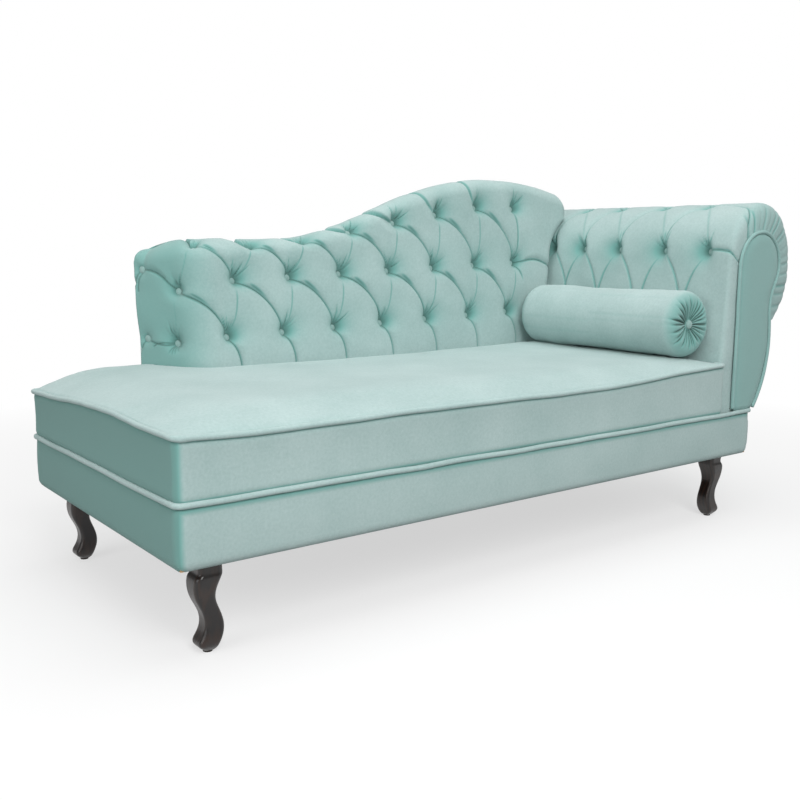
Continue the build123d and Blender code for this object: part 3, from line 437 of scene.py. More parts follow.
class Nodes:
    """Adds nodes to a tree and links them."""

    def __init__(self, tree: NodeTree) -> None:
        """Starts on a tree."""
        self.tree = tree

    @classmethod
    def fresh(cls, owner: Material | bpy.types.World) -> "Nodes":
        """Starts on the emptied tree of a material or world.

        Args:
            owner: the material or world.

        Returns:
            The nodes.
        """
        owner.use_nodes = True
        owner.node_tree.nodes.clear()
        return cls(owner.node_tree)

    def add(self, kind: str, inputs: Optional[dict] = None, **settings: object) -> Node:
        """New node.

        Args:
            kind: its type.
            inputs: socket values, or sockets to link from, by name or number.
            settings: properties of the node.

        Returns:
            The node.
        """
        node = self.tree.nodes.new(kind)
        for name, value in settings.items():
            setattr(node, name, value)
        for name, value in (inputs or {}).items():
            if isinstance(value, Socket):
                self.tree.links.new(value, node.inputs[name])
            else:
                node.inputs[name].default_value = value
        return node

    def blend(self, share: Socket, first: object, second: object) -> Socket:
        """Mix of two colours or sockets, by a share of the second."""
        return self.add("ShaderNodeMix", {0: share, 6: first, 7: second}, data_type="RGBA").outputs[2]

    def sum(self, operation: str, first: object, second: object) -> Socket:
        """Result of a sum on two values or sockets."""
        return self.add("ShaderNodeMath", {0: first, 1: second}, operation=operation).outputs[0]

    def weighted(self, *parts: tuple[Socket, float]) -> Socket:
        """Sum of sockets, each with its weight.

        Args:
            parts: pairs of socket and weight.

        Returns:
            The sum.
        """
        total = self.sum("MULTIPLY", *parts[0])
        for part in parts[1:]:
            total = self.sum("ADD", total, self.sum("MULTIPLY", *part))
        return total

    def span(self, value: Socket, source: Point = (0.0, 1.0), target: Point = (0.0, 1.0)) -> Socket:
        """Value stretched from one range to another, and kept within it."""
        return self.add("ShaderNodeMapRange", dict(enumerate((value, *source, *target)))).outputs[0]

    def noise(
        self, place: Socket, scale: object, detail: float, swing: float, roughness: float = 0.5
    ) -> Socket:
        """Noise from 0 to 1, cut off where it swings too far from the middle."""
        inputs = {"Vector": place, "Scale": scale, "Detail": detail, "Roughness": roughness}
        return self.span(self.add("ShaderNodeTexNoise", inputs).outputs[0], (0.5 - swing, 0.5 + swing))

    def bump(self, strength: float, distance: float, height: Socket) -> Socket:
        """Normal of a surface with a height on it."""
        inputs = {"Strength": strength, "Distance": distance, "Height": height}
        return self.add("ShaderNodeBump", inputs).outputs[0]


def shader_group(name: str, scales: dict[str, float], outputs: Sequence[str]) -> tuple[Nodes, Node]:
    """Empty shader group that takes coordinates and scales and gives values.

    Args:
        name: name of the group.
        scales: name and default of each scale.
        outputs: name of each value.

    Returns:
        The means to fill the group, and its input node.
    """
    tree = bpy.data.node_groups.new(name, "ShaderNodeTree")
    tree.interface.new_socket("Vector", in_out="INPUT", socket_type="NodeSocketVector")
    for label, value in scales.items():
        socket = tree.interface.new_socket(label, in_out="INPUT", socket_type="NodeSocketFloat")
        socket.default_value = value
    for label in outputs:
        tree.interface.new_socket(label, in_out="OUTPUT", socket_type="NodeSocketFloat")
    nodes = Nodes(tree)
    return nodes, nodes.add("NodeGroupInput")


def rgb(code: str) -> tuple[float, float, float, float]:
    """Linear colour from a six-digit screen colour.

    Args:
        code: the six digits.

    Returns:
        Red, green, blue and a full alpha.
    """
    parts = [int(code[index:index + 2], 16) / 255.0 for index in (0, 2, 4)]
    linear = [part / 12.92 if part <= 0.04045 else ((part + 0.055) / 1.055) ** 2.4 for part in parts]
    return (*linear, 1.0)


class Effects:
    """Shader groups that several finishes share."""

    def __init__(self) -> None:
        """Builds the groups once."""
        self.pile = self.build_pile()
        self.grain = self.build_grain()
        self.speckle = self.build_speckle()

    def build_pile(self) -> NodeTree:
        """Nap of a short pile: broad patches where the pile lies differently, small mottling and single
        tufts.

        Returns:
            The group.
        """
        scales = {"Patch Scale": 7.0, "Mottle Scale": 190.0, "Tuft Scale": 1300.0}
        nodes, start = shader_group("velvet_pile", scales, ["Tone", "Height"])
        patch, mottle, tufts = (
            nodes.noise(start.outputs["Vector"], start.outputs[name], detail, 0.22, roughness=0.55)
            for name, detail in zip(scales, (3.0, 2.0, 1.0))
        )
        tone = nodes.weighted((patch, 0.4), (mottle, 0.35), (tufts, 0.25))
        height = nodes.weighted((mottle, 0.4), (tufts, 0.6))
        nodes.add("NodeGroupOutput", {"Tone": tone, "Height": height})
        return nodes.tree

    def build_grain(self) -> NodeTree:
        """Wood figure that runs along Z, with rings and fine pores.

        Returns:
            The group.
        """
        scales = {"Ring Scale": 26.0, "Pore Scale": 420.0}
        nodes, start = shader_group("wood_grain", scales, ["Figure", "Pores"])
        lengthwise = {"Vector": start.outputs["Vector"], "Scale": (1.0, 1.0, 0.12)}
        stretched = nodes.add("ShaderNodeMapping", lengthwise).outputs[0]
        figure = {"Distortion": 7.0, "Detail": 3.0, "Detail Scale": 1.6}
        figure |= {"Vector": stretched, "Scale": start.outputs["Ring Scale"]}
        rings = nodes.add("ShaderNodeTexWave", figure, wave_type="RINGS")
        pores = nodes.noise(stretched, start.outputs["Pore Scale"], 2.0, 0.15)
        nodes.add("NodeGroupOutput", {"Figure": rings.outputs[1], "Pores": pores})
        return nodes.tree

    def build_speckle(self) -> NodeTree:
        """Coarse and fine spots for foam, felt, cloth and metal.

        Returns:
            The group.
        """
        nodes, start = shader_group("speckle", {"Scale": 300.0}, ["Spots", "Clouds"])
        place = start.outputs["Vector"]
        spots = nodes.noise(place, start.outputs["Scale"], 3.0, 0.2)
        clouds = nodes.noise(place, 22.0, 4.0, 0.2)
        nodes.add("NodeGroupOutput", {"Spots": spots, "Clouds": clouds})
        return nodes.tree


@dataclass(frozen=True)
class Finish:
    """Finish of one slot, on Object coordinates."""

    def surface(self, nodes: Nodes, place: Socket, effects: Effects) -> dict:
        """Values and sockets for the shader by name, which each kind of finish gives."""
        raise NotImplementedError

    def material(self, name: str, effects: Effects) -> Material:
        """Builds the finish.

        Args:
            name: name of the slot.
            effects: the shared shader groups.

        Returns:
            The material.
        """
        material = bpy.data.materials.new(name)
        nodes = Nodes.fresh(material)
        place = nodes.add("ShaderNodeTexCoord").outputs["Object"]
        shader = nodes.add("ShaderNodeBsdfPrincipled", self.surface(nodes, place, effects))
        nodes.add("ShaderNodeOutputMaterial", {"Surface": shader.outputs[0]})
        return material


@dataclass(frozen=True)
class Velvet(Finish):
    """Short-pile velvet with random pile tone, and painted shade from a vertex attribute in its creases and
    shaded ends.
    """

    shade: str = "8BABA8"
    light: str = "B1C8C6"
    # Painted shade colours: mid shade for shaded ends and panels, deepest shade in creases and pits.
    mid_shade: str = "62A099"
    deepest_shade: str = "0A5349"
    roughness: float = 0.88
    gloss: float = 0.08
    sheen: float = 0.3
    sheen_roughness: float = 0.9
    sheen_tint: Colour = (0.98, 1.0, 1.0)
    bump: float = 0.35
    pile_height: float = 0.0007
    # Painted-shade levels at which the mid shade and then the deepest shade are full.
    mid_shade_full: float = 0.5
    full_depth: float = 1.05

    def surface(self, nodes: Nodes, place: Socket, effects: Effects) -> dict:
        """Pile colour, painted towards a mid shade and then the deepest shade as the vertex attribute of
        painted shade rises.

        Args:
            nodes, place, effects: as for every finish.

        Returns:
            Inputs of the shader by name.
        """
        pile = nodes.add("ShaderNodeGroup", {"Vector": place}, node_tree=effects.pile)
        # Vertex attribute of painted shade, laid on in the mesh code.
        painted_shade = nodes.add("ShaderNodeAttribute", attribute_name="painted_shade").outputs["Fac"]
        colour = nodes.blend(pile.outputs["Tone"], rgb(self.shade), rgb(self.light))
        colour = nodes.blend(nodes.span(painted_shade, (0.0, self.mid_shade_full)), colour, rgb(self.mid_shade))
        colour = nodes.blend(nodes.span(painted_shade, (self.mid_shade_full, self.full_depth)), colour, rgb(self.deepest_shade))
        return {
            "Base Color": colour,
            "Normal": nodes.bump(self.bump, self.pile_height, pile.outputs["Height"]),
            "Roughness": self.roughness,
            "Specular IOR Level": self.gloss,
            "Sheen Weight": self.sheen,
            "Sheen Roughness": self.sheen_roughness,
            "Sheen Tint": (*self.sheen_tint, 1.0),
        }


@dataclass(frozen=True)
class Wood(Finish):
    """Timber or ply, from raw frame stock to polished legs."""

    dark: str
    light: str
    roughness: float
    coat: float = 0.0
    coat_roughness: float = 0.12
    ring_scale: float = 26.0
    bump: float = 0.12
    pore_depth: float = 0.0004

    def surface(self, nodes: Nodes, place: Socket, effects: Effects) -> dict:
        """Figured wood with fine pores.

        Args:
            nodes, place, effects: as for every finish.

        Returns:
            Inputs of the shader by name.
        """
        inputs = {"Vector": place, "Ring Scale": self.ring_scale}
        grain = nodes.add("ShaderNodeGroup", inputs, node_tree=effects.grain)
        pores = grain.outputs["Pores"]
        return {
            "Base Color": nodes.blend(grain.outputs["Figure"], rgb(self.dark), rgb(self.light)),
            "Roughness": nodes.span(pores, target=(self.roughness - 0.04, self.roughness + 0.08)),
            "Normal": nodes.bump(self.bump, self.pore_depth, pores),
            "Coat Weight": self.coat,
            "Coat Roughness": self.coat_roughness,
        }


@dataclass(frozen=True)
class Plain(Finish):
    """Speckled finish of foam, felt, woven cloth or metal."""

    dark: str
    light: str
    roughness: float
    metallic: float = 0.0
    scale: float = 300.0
    bump: float = 0.2
    spot_depth: float = 0.0006
    unevenness: float = 0.06

    def surface(self, nodes: Nodes, place: Socket, effects: Effects) -> dict:
        """Even colour with fine spots and broad clouds.

        Args:
            nodes, place, effects: as for every finish.

        Returns:
            Inputs of the shader by name.
        """
        inputs = {"Vector": place, "Scale": self.scale}
        speckle = nodes.add("ShaderNodeGroup", inputs, node_tree=effects.speckle)
        spots, clouds = speckle.outputs
        mixed = nodes.sum("MULTIPLY", nodes.sum("ADD", spots, clouds), 0.5)
        rough = (self.roughness - self.unevenness, self.roughness + self.unevenness)
        return {
            "Base Color": nodes.blend(mixed, rgb(self.dark), rgb(self.light)),
            "Roughness": nodes.span(clouds, target=rough),
            "Normal": nodes.bump(self.bump, self.spot_depth, spots),
            "Metallic": self.metallic,
        }


FINISHES = {
    Slot.VELVET: Velvet(),
    Slot.BUTTON_VELVET: Velvet(shade="7AA39D", light="96B8B4"),
    Slot.DARK_WOOD: Wood("0D0807", "26170F", 0.36, coat=0.2, ring_scale=34.0),
    Slot.FRAME_TIMBER: Wood("B08A5C", "D3B183", 0.62),
    Slot.PLYWOOD: Wood("B99668", "D9BE93", 0.6, ring_scale=14.0),
    Slot.FOAM: Plain("D8CFAE", "EFE8CF", 0.95, scale=520.0, bump=0.5),
    Slot.WEBBING: Plain("2E2A26", "57504A", 0.9, scale=700.0, bump=0.5),
    Slot.DUST_CLOTH: Plain("141516", "26282A", 0.92, scale=900.0, bump=0.4),
    Slot.ZINC_STEEL: Plain("8F9498", "BFC4C8", 0.36, metallic=1.0, scale=160.0, bump=0.05),
    Slot.BLACK_PLATE: Plain("101112", "202224", 0.5, metallic=0.6, scale=240.0, bump=0.1),
    Slot.FELT: Plain("2A2724", "4A4540", 0.97, scale=600.0, bump=0.6),
}


# Shapes that the covers follow


@dataclass(frozen=True)
class Bench:
    """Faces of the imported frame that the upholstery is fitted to."""

    left: float
    right: float
    front: float
    rear: float
    hem: float
    rail_top: float
    seam: float
    border: float
    crown: float
    welt: float
    # Strength of the painted shade on the foot end.
    end_shade: float = 0.66
    wave_height: float = 0.0016
    wave_length: float = 0.62

    @classmethod
    def read(cls) -> "Bench":
        """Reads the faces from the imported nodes.

        Returns:
            The bench.
        """
        base_low, base_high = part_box("base_cover")
        seat_low, seat_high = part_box("seat_cover")
        welt_low, welt_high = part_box("seat_welt")
        return cls(
            left=base_low.x,
            right=base_high.x,
            front=base_low.y,
            rear=base_high.y,
            hem=base_low.z,
            rail_top=base_high.z,
            seam=seat_low.z,
            border=(welt_low.z + welt_high.z) / 2.0,
            crown=seat_high.z,
            welt=(welt_high.z - welt_low.z) / 2.0,
        )

    def foot_end_shade(self, x: Array) -> Array:
        """Painted shade on the foot end, fading out just inside it."""
        return self.end_shade * (1.0 - ramp(x - self.left, 0.004, 0.016))

    def wave(self, x: Array, y: Array, seed: int) -> Array:
        """Small rise and fall of a sewn edge."""
        return self.wave_height * ripple(x, 1.7 * y, self.wave_length, seed)

    def piping_plan(self, inset: float, corner: float, starts: float, stops: Point, step: float) -> Array:
        """Plan of a line of piping from the back round the foot end and along the front.

        Args:
            inset: distance of its centre from the base's outline.
            corner: rounding of the outline.
            starts: X of the back that it starts beside.
            stops: X and Y at which it ends beside the arm.
            step: spacing of its points.

        Returns:
            Points as x and y.
        """
        corners = [
            (starts - self.welt, self.rear - inset),
            (self.left + inset, self.rear - inset),
            (self.left + inset, self.front + inset),
            (stops[0], self.front + inset),
            stops,
        ]
        return rounded_path(corners, corner - inset, step)


@dataclass(frozen=True)
class ArmShape:
    """Outline of the scrolled arm, seen from the front."""

    bench: Bench
    right: float
    top: float
    width: float = 0.119
    padding: float = 0.05
    roll: float = 0.13
    roll_drop: float = 0.036
    turn_under: float = math.radians(54.0)
    roll_padding: float = 0.068
    scroll: float = 0.075
    scroll_turn: float = math.radians(30.0)
    neck_past_base: float = 0.0535
    neck_below_scroll: float = 0.128
    foot_inset: float = 0.003
    scroll_points: int = 48
    waist_points: int = 16
    belly_points: int = 24

    @property
    def waist_from(self) -> int:
        """Where the waist starts in the front panel's edge."""
        return self.scroll_points + 1

    @property
    def belly_from(self) -> int:
        """Where the belly starts in the front panel's edge."""
        return self.waist_from + self.waist_points - 1

    @property
    def centre(self) -> Array:
        """Centre of the roll."""
        return np.array([self.right - self.roll, self.top - self.roll])

    @property
    def foot(self) -> Array:
        """Foot of the inner face."""
        return np.array([self.bench.right - self.width, self.bench.seam])

    @property
    def scroll_centre(self) -> Array:
        """Centre of the front panel's scroll."""
        left = self.foot[0] + self.padding
        return np.array([left + self.scroll, self.top - self.roll_padding - self.scroll])

    @property
    def touch_angle(self) -> float:
        """Angle at which the inner face meets the roll."""
        away = self.foot - self.centre
        turn = math.atan2(away[1], away[0]) - math.acos(self.roll / np.linalg.norm(away))
        return turn % (math.tau)

    @property
    def touch(self) -> Array:
        """Point where the inner face meets the roll."""
        return self.centre + self.roll * ray(self.touch_angle)

    @property
    def face_length(self) -> float:
        """Length of the inner face, from its foot to the roll."""
        return float(np.linalg.norm(self.touch - self.foot))

    @property
    def section_length(self) -> float:
        """Whole length of the padding's outer face in section."""
        return self.face_length + self.roll * (self.touch_angle + self.turn_under) + self.roll_drop

    def along(self, angle: float) -> float:
        """Length along the section at an angle of the roll."""
        return self.face_length + self.roll * (self.touch_angle - angle)

    def section(self, length: Array) -> Pair:
        """Outer face of the padding in section.

        Args:
            length: distances from the foot along the face.

        Returns:
            Points and outward normals, as x and z.
        """
        into_roll = length - self.face_length
        into_drop = into_roll - self.roll * self.touch_angle
        into_under = into_drop - self.roll_drop
        angle = np.where(
            into_under > 0.0,
            -np.clip(into_under, 0.0, None) / self.roll,
            np.clip(self.touch_angle - into_roll / self.roll, 0.0, self.touch_angle),
        )
        normal = ray(angle)
        fall = np.clip(into_drop, 0.0, self.roll_drop)
        point = self.centre + self.roll * normal - stacked(0.0, fall)
        lean = (self.touch - self.foot) / self.face_length
        straight = self.foot + length[..., None] * lean
        return np.where((into_roll < 0.0)[..., None], straight, point), normal

    def side(self, height: Array) -> Array:
        """Inner edge of the arm along X, at a height.

        Args:
            height: the heights.

        Returns:
            X at each height.
        """
        lean = (self.touch[0] - self.foot[0]) / (self.touch[1] - self.foot[1])
        straight = self.foot[0] + lean * (height - self.foot[1])
        above = np.clip(height - self.centre[1], 0.0, self.roll)
        curve = self.centre[0] - np.sqrt(self.roll**2 - above**2)
        return np.where(height < self.touch[1], straight, curve)

    def facing(self, grow: float) -> Array:
        """Edge of the front panel: up its inner side, over the scroll, in at the neck, down the belly.

        Args:
            grow: offset outwards.

        Returns:
            Points as x and z, in order.
        """
        centre = self.scroll_centre
        radius = self.scroll + grow
        left = centre[0] - radius
        side = np.array([[left, self.bench.seam], [left, centre[1]]])
        turns = np.linspace(math.pi, -self.scroll_turn, self.scroll_points)
        scroll = centre + radius * ray(turns)
        leave_heading = np.array([math.sin(turns[-1]), -math.cos(turns[-1])])
        neck = np.array([self.bench.right + self.neck_past_base + grow, centre[1] - self.neck_below_scroll])
        waist, neck_heading = tangent_arc(scroll[-1], leave_heading, neck, self.waist_points)
        foot = np.array([self.bench.right - self.foot_inset + grow, self.bench.seam])
        belly, _ = tangent_arc(neck, neck_heading, foot, self.belly_points)
        return np.concatenate([side, scroll[1:], waist[1:], belly[1:]])


@dataclass(frozen=True)
class BackPlan:
    """Plan and top line of the back."""

    left: float
    right: float
    front: float
    rear: float
    top: float
    arm: ArmShape
    bench: Bench
    slant: float = 0.075
    end_round: float = 0.08
    arm_round: float = 0.046
    edge: float = 0.03
    end_edge: float = 0.044
    rear_round: float = 0.014
    least_round: float = 0.002
    low_drop: float = 0.157
    wave_from: float = 0.558
    wave_to: float = 1.146
    crest_from: float = 1.211
    crest_run: float = 0.17
    crest_slope: float = 0.245
    shoulder: float = 0.048
    top_corner: float = 0.03
    fan_reach: float = 0.11
    arm_fan: float = 0.05
    arm_blend: float = 0.2
    front_lead: float = 0.045
    rear_lag: float = -0.05
    lead_from: float = 0.8
    lead_to: float = 1.12
    rear_fall: float = 0.01
    end_fall: float = 0.012
    arm_gap: float = 0.0002
    lead_in: Point = (0.1, 0.2)
    low_end: Point = (0.02, 0.09)
    end_reach: Point = (-0.03, 0.12)
    edge_room: float = 0.95
    rear_room: float = 0.8
    end_hollow: float = 2.4
    top_hollow: float = 1.5

    @property
    def end_run(self) -> float:
        """Length of the slanted foot end."""
        return math.hypot(self.slant, self.rear - self.front)

    @property
    def end_turn(self) -> float:
        """Angle between the foot end and the front."""
        return math.acos(self.slant / self.end_run)

    @property
    def front_start(self) -> float:
        """Where the rounded corner reaches the straight front."""
        return self.left + self.slant + self.end_round * math.tan(self.end_turn / 2.0)

    @property
    def arc_start(self) -> float:
        """Where the foot end reaches the rounded corner, measured along the plan."""
        return self.front_start - self.end_round * self.end_turn

    @property
    def start(self) -> float:
        """Rear end of the foot end, measured along the plan."""
        return self.arc_start - self.end_run + self.end_round * math.tan(self.end_turn / 2.0)

    @property
    def front_end(self) -> float:
        """Where the straight front reaches the arm-side corner."""
        return self.right - self.arm_round

    @property
    def end(self) -> float:
        """Rear end of the arm side, measured along the plan."""
        return self.front_end + self.arm_round * QUARTER_TURN + self.rear - self.front - self.arm_round

    def outline(self, across: Array) -> Pair:
        """Plan of the back; along the straight front a place is its X.

        Args:
            across: places measured along the plan.

        Returns:
            Points and outward normals, as x and y.
        """
        lean = np.array([self.slant, self.front - self.rear]) / self.end_run
        on_end = np.clip(across - self.start, 0.0, None)[..., None]
        end_point = np.array([self.left, self.rear]) + on_end * lean
        turn = np.clip((self.front_start - across) / self.end_round, 0.0, self.end_turn)
        corner_normal = -stacked(np.sin(turn), np.cos(turn))
        corner = np.array([self.front_start, self.front + self.end_round]) + self.end_round * corner_normal
        ahead = np.clip(across - self.front_start, 0.0, self.front_end - self.front_start)
        turn = np.clip((across - self.front_end) / self.arm_round, 0.0, QUARTER_TURN)
        right_normal = stacked(np.sin(turn), -np.cos(turn))
        past = np.clip(across - self.front_end - self.arm_round * QUARTER_TURN, 0.0, None)
        right_point = stacked(
            self.front_start + ahead + self.arm_round * np.sin(turn),
            self.front + self.arm_round * (1.0 - np.cos(turn)) + past,
        )
        on_slant = (across < self.arc_start)[..., None]
        on_corner = (across < self.front_start)[..., None]
        point = np.where(on_slant, end_point, np.where(on_corner, corner, right_point))
        return point, np.where(on_corner, corner_normal, right_normal)

    def top_line(self, x: Array) -> Array:
        """Height of the top: low at the foot end, a wave up, and a fall to the rounded arm end.

        Args:
            x: places along X.

        Returns:
            Height at each place.
        """
        from_base = x - self.bench.left
        rise = ramp(from_base, self.wave_from, self.wave_to) - 1.0
        past = np.clip(from_base - self.crest_from, 0.0, None)
        bend = np.minimum(past, self.crest_run)
        fall = self.crest_slope * (bend**2 / (2.0 * self.crest_run) + past - bend)
        ends = round_off(self.right - x, self.shoulder) + round_off(x - self.left, self.top_corner)
        return self.top + self.low_drop * rise - fall - ends

    def led_line(self, x: Array, lead: float) -> Array:
        """Height of the top where its wave runs ahead or behind."""
        ahead = lead * (1.0 - ramp(x - self.bench.left, self.lead_from, self.lead_to))
        return self.top_line(np.maximum(x, self.left) + ahead * ramp(x - self.left, *self.lead_in))

    def front_line(self, x: Array) -> Array:
        """Height of the top's front edge."""
        return self.led_line(x, self.front_lead)

    def rear_line(self, x: Array) -> Array:
        """Height of the top's rear edge, behind the front edge along the wave and low at the foot end."""
        low_end = 1.0 - ramp(x - self.left, *self.low_end)
        return self.led_line(x, self.rear_lag) - self.rear_fall - self.end_fall * low_end

    def edge_line(self, across: Array) -> Array:
        """Height of the top's edge along the plan; round the ends it falls towards the rear.

        Args:
            across: places along the plan.

        Returns:
            Height at each place.
        """
        point, _ = self.outline(across)
        x = point[..., 0]
        behind = np.clip((point[..., 1] - self.front) / (self.rear - self.front), 0.0, 1.0)
        return self.front_line(x) + (self.rear_line(x) - self.front_line(x)) * behind**self.end_hollow

    def rounding(self, across: Array) -> Array:
        """Radius of the top edge, fuller at the foot end and tight where the foot end meets the rear.

        Args:
            across: places along the plan.

        Returns:
            Radius at each place.
        """
        near_end = 1.0 - ramp(across - self.front_start, *self.end_reach)
        radius = self.edge + (self.end_edge - self.edge) * near_end
        point, normal = self.outline(across)
        room = self.edge_room * (self.rear - point[..., 1]) / np.maximum(-normal[..., 1], 1e-3)
        return np.maximum(np.minimum(radius, room), self.least_round)

    def spring(self, across: Array) -> Array:
        """Height at which the front turns over into the top edge."""
        return self.edge_line(across) - self.rounding(across)

    def rear_x(self, across: Array) -> Array:
        """Place on the rear edge that a line over the top runs to.

        Args:
            across: places along the plan.

        Returns:
            X on the rear edge for each place.
        """
        reach = self.front_start + self.fan_reach
        share = (across - self.start) / (reach - self.start)
        left_fan = self.left + share * (reach - self.left)
        pinch = self.front_end - self.arm_fan
        share = (across - pinch) / (self.end - pinch)
        right_fan = pinch + share * (self.right - self.edge - pinch)
        point, _ = self.outline(across)
        return np.where(across < reach, left_fan, np.where(across > pinch, right_fan, point[..., 0]))

    def top_run(self, across: Array) -> Array:
        """Depth of the flat top behind its rounded edge.

        Args:
            across: places along the plan.

        Returns:
            Depth at each place.
        """
        point, normal = self.outline(across)
        inner = point - self.rounding(across)[..., None] * normal
        return np.hypot(self.rear_x(across) - inner[..., 0], self.rear - inner[..., 1])

    def face(self, across: Array, up: Array) -> Pair:
        """Outer face of the padding, up the front and over the top.

        Args:
            across: places along the plan.
            up: height, carried on round the top edge as a length.

        Returns:
            Points and outward normals.
        """
        plan, normal = self.outline(across)
        radius = self.rounding(across)
        spring = self.spring(across)
        turn = np.clip((up - spring) / radius, 0.0, QUARTER_TURN)
        over = np.clip(up - spring - radius * QUARTER_TURN, 0.0, None)
        inner = plan - radius[..., None] * normal
        target = stacked(self.rear_x(across), self.rear)
        run = self.top_run(across)
        heading = (target - inner) / np.maximum(run, LEAST_RUN)[..., None]
        flat = inner + (radius * np.cos(turn))[..., None] * normal + over[..., None] * heading
        rear_round = np.minimum(self.rear_round, self.rear_room * run)
        behind = np.where(over > 0.0, round_off(run - over, rear_round), 0.0)
        slope = self.edge_line(across) - self.rear_line(self.rear_x(across))
        fall = slope * np.clip(over / np.maximum(run, LEAST_RUN), 0.0, 1.0) ** self.top_hollow
        height = np.minimum(up, spring) + radius * np.sin(turn) - behind - fall
        point = np.concatenate([flat, height[..., None]], -1)
        out = np.concatenate([normal * np.cos(turn)[..., None], np.sin(turn)[..., None]], -1)
        return point, out

    def beside_arm(self, points: Array, heights: Array, end: float, slack: float = 0.0) -> Array:
        """Draws the arm end of a form in, so that it follows the arm's inner face and roll.

        Args:
            points: points of the form.
            heights: height of each point before it was drawn in.
            end: how far the form reached along X.
            slack: how far it may reach past the arm's face.

        Returns:
            The moved points.
        """
        limit = np.minimum(self.arm.side(heights) - self.arm_gap + slack, end)
        moved = points.copy()
        moved[..., 0] += (limit - end) * ramp(points[..., 0], end - self.arm_blend, end)
        return moved


# Tufting


@dataclass(frozen=True)
class Fold:
    """Pleat on a padded face: a bowed line with a rolled lip on its right and a slope on its left, with
    painted shade along its crease.
    """

    start: Point
    end: Point
    depth: float
    bow: float = 0.0
    lip: float = 0.006
    slope: float = 0.03
    fade_in: float = 0.0
    fade_out: float = 0.0
    # Strength and width of the painted shade along the crease.
    shade_mark: float = 1.0
    crease: float = 0.003
    steepness: float = 2.6

    def line(self, count: int = 22) -> Array:
        """Points along the bowed line; a positive bow swings it to the left.

        Args:
            count: number of points.

        Returns:
            The points.
        """
        first, last = np.array(self.start), np.array(self.end)
        chord = last - first
        middle = (first + last) / 2.0 + 2.0 * self.bow * np.array([-chord[1], chord[0]])
        share = np.linspace(0.0, 1.0, count)[:, None]
        return (1 - share) ** 2 * first + 2 * share * (1 - share) * middle + share**2 * last

    def drawn(self, across: Array, up: Array) -> Pair:
        """Depth that the pleat draws in, and the painted shade along its crease.

        Args:
            across, up: places on the face.

        Returns:
            Depth and painted shade at each place.
        """
        line = self.line()
        reach = max(self.lip, self.slope)
        low, high = line.min(0) - reach, line.max(0) + reach
        near = (across > low[0]) & (across < high[0]) & (up > low[1]) & (up < high[1])
        depth, shade_mark = np.zeros_like(across), np.zeros_like(across)
        place = stacked(across[near], up[near])
        gap = np.full(len(place), np.inf)
        share = np.zeros(len(place))
        left = np.zeros(len(place), bool)
        for index, (first, last) in enumerate(zip(line[:-1], line[1:])):
            run = last - first
            offset = place - first
            along = np.clip(offset @ run / (run @ run), 0.0, 1.0)
            distance = np.linalg.norm(offset - along[:, None] * run, axis=1)
            closer = distance < gap
            gap[closer] = distance[closer]
            share[closer] = (index + along[closer]) / (len(line) - 1)
            left[closer] = (run[0] * offset[closer, 1] - run[1] * offset[closer, 0]) > 0.0
        close = np.clip(1.0 - gap / np.where(left, self.slope, self.lip), 0.0, 1.0)
        shape = np.where(left, close**self.steepness, 1.0 - np.sqrt(1.0 - close**2))
        fade = np.ones(len(place))
        if self.fade_in:
            fade *= ramp(share, 0.0, self.fade_in)
        if self.fade_out:
            fade *= 1.0 - ramp(share, 1.0 - self.fade_out, 1.0)
        depth[near] = self.depth * shape * fade
        # Painted shade: a dark line along the crease.
        shade_mark[near] = self.shade_mark * np.exp(-((gap / self.crease) ** 2)) * fade
        return depth, shade_mark


@dataclass(frozen=True)
class Spot:
    """Place that a button draws in: a pit that opens one way, and the wrinkles that fan out above it, both
    with painted shade.
    """

    across: float
    up: float
    depth: float
    way: float = math.radians(50.0)
    narrow: float = 0.0085
    wide: float = 0.03
    fan: float = math.radians(76.0)
    fan_half: float = math.radians(38.0)
    wrinkles: int = 10
    wrinkle_width: float = 0.0014
    wrinkle_reach: float = 0.08
    wrinkle_lengths: Point = (0.03, 0.07)
    wrinkle_depths: Point = (0.0014, 0.0032)
    wrinkle_shade: float = 330.0
    opening: float = 1.4
    pit_shade_power: float = 0.95
    seed: int = 0

    def drawn(self, across: Array, up: Array) -> Pair:
        """Depth of the pit round the button, and its painted shade.

        Args:
            across, up: places on the face.

        Returns:
            Depth and painted shade at each place.
        """
        dx, dz = across - self.across, up - self.up
        away = np.hypot(dx, dz)
        facing = 0.5 + 0.5 * np.cos(np.arctan2(dz, dx) - self.way)
        reach = self.narrow + (self.wide - self.narrow) * facing**self.opening
        shape = (1.0 + (away / reach) ** 2) ** -1.5
        # Painted shade in the pit, following its depth.
        return self.depth * shape, shape**self.pit_shade_power

    def wrinkled(self, across: Array, up: Array) -> Pair:
        """Depth of the wrinkles that run into the pit, and their painted shade.

        Args:
            across, up: places on the face.

        Returns:
            Depth and painted shade at each place.
        """
        draw = np.random.default_rng(self.seed)
        dx, dz = across - self.across, up - self.up
        near = np.maximum(np.abs(dx), np.abs(dz)) < self.wrinkle_reach
        dx, dz = dx[near], dz[near]
        away = np.hypot(dx, dz)
        angle = np.arctan2(dz, dx)
        depth, shade_mark = np.zeros_like(across), np.zeros_like(across)
        total, dark = np.zeros_like(dx), np.zeros_like(dx)
        for _ in range(self.wrinkles):
            heading = self.fan + draw.uniform(-self.fan_half, self.fan_half)
            length = draw.uniform(*self.wrinkle_lengths)
            strength = draw.uniform(*self.wrinkle_depths)
            off = (angle - heading + math.pi) % math.tau - math.pi
            gap = off * np.maximum(away, 0.012)
            crest = np.exp(-((gap / self.wrinkle_width) ** 2)) * (np.abs(off) < 1.2)
            crest *= ramp(away, 0.008, 0.018) * (1.0 - ramp(away, 0.4 * length, length))
            total += strength * crest
            # Painted shade along each wrinkle.
            dark = np.maximum(dark, self.wrinkle_shade * strength * crest)
        depth[near], shade_mark[near] = total, dark
        return depth, shade_mark


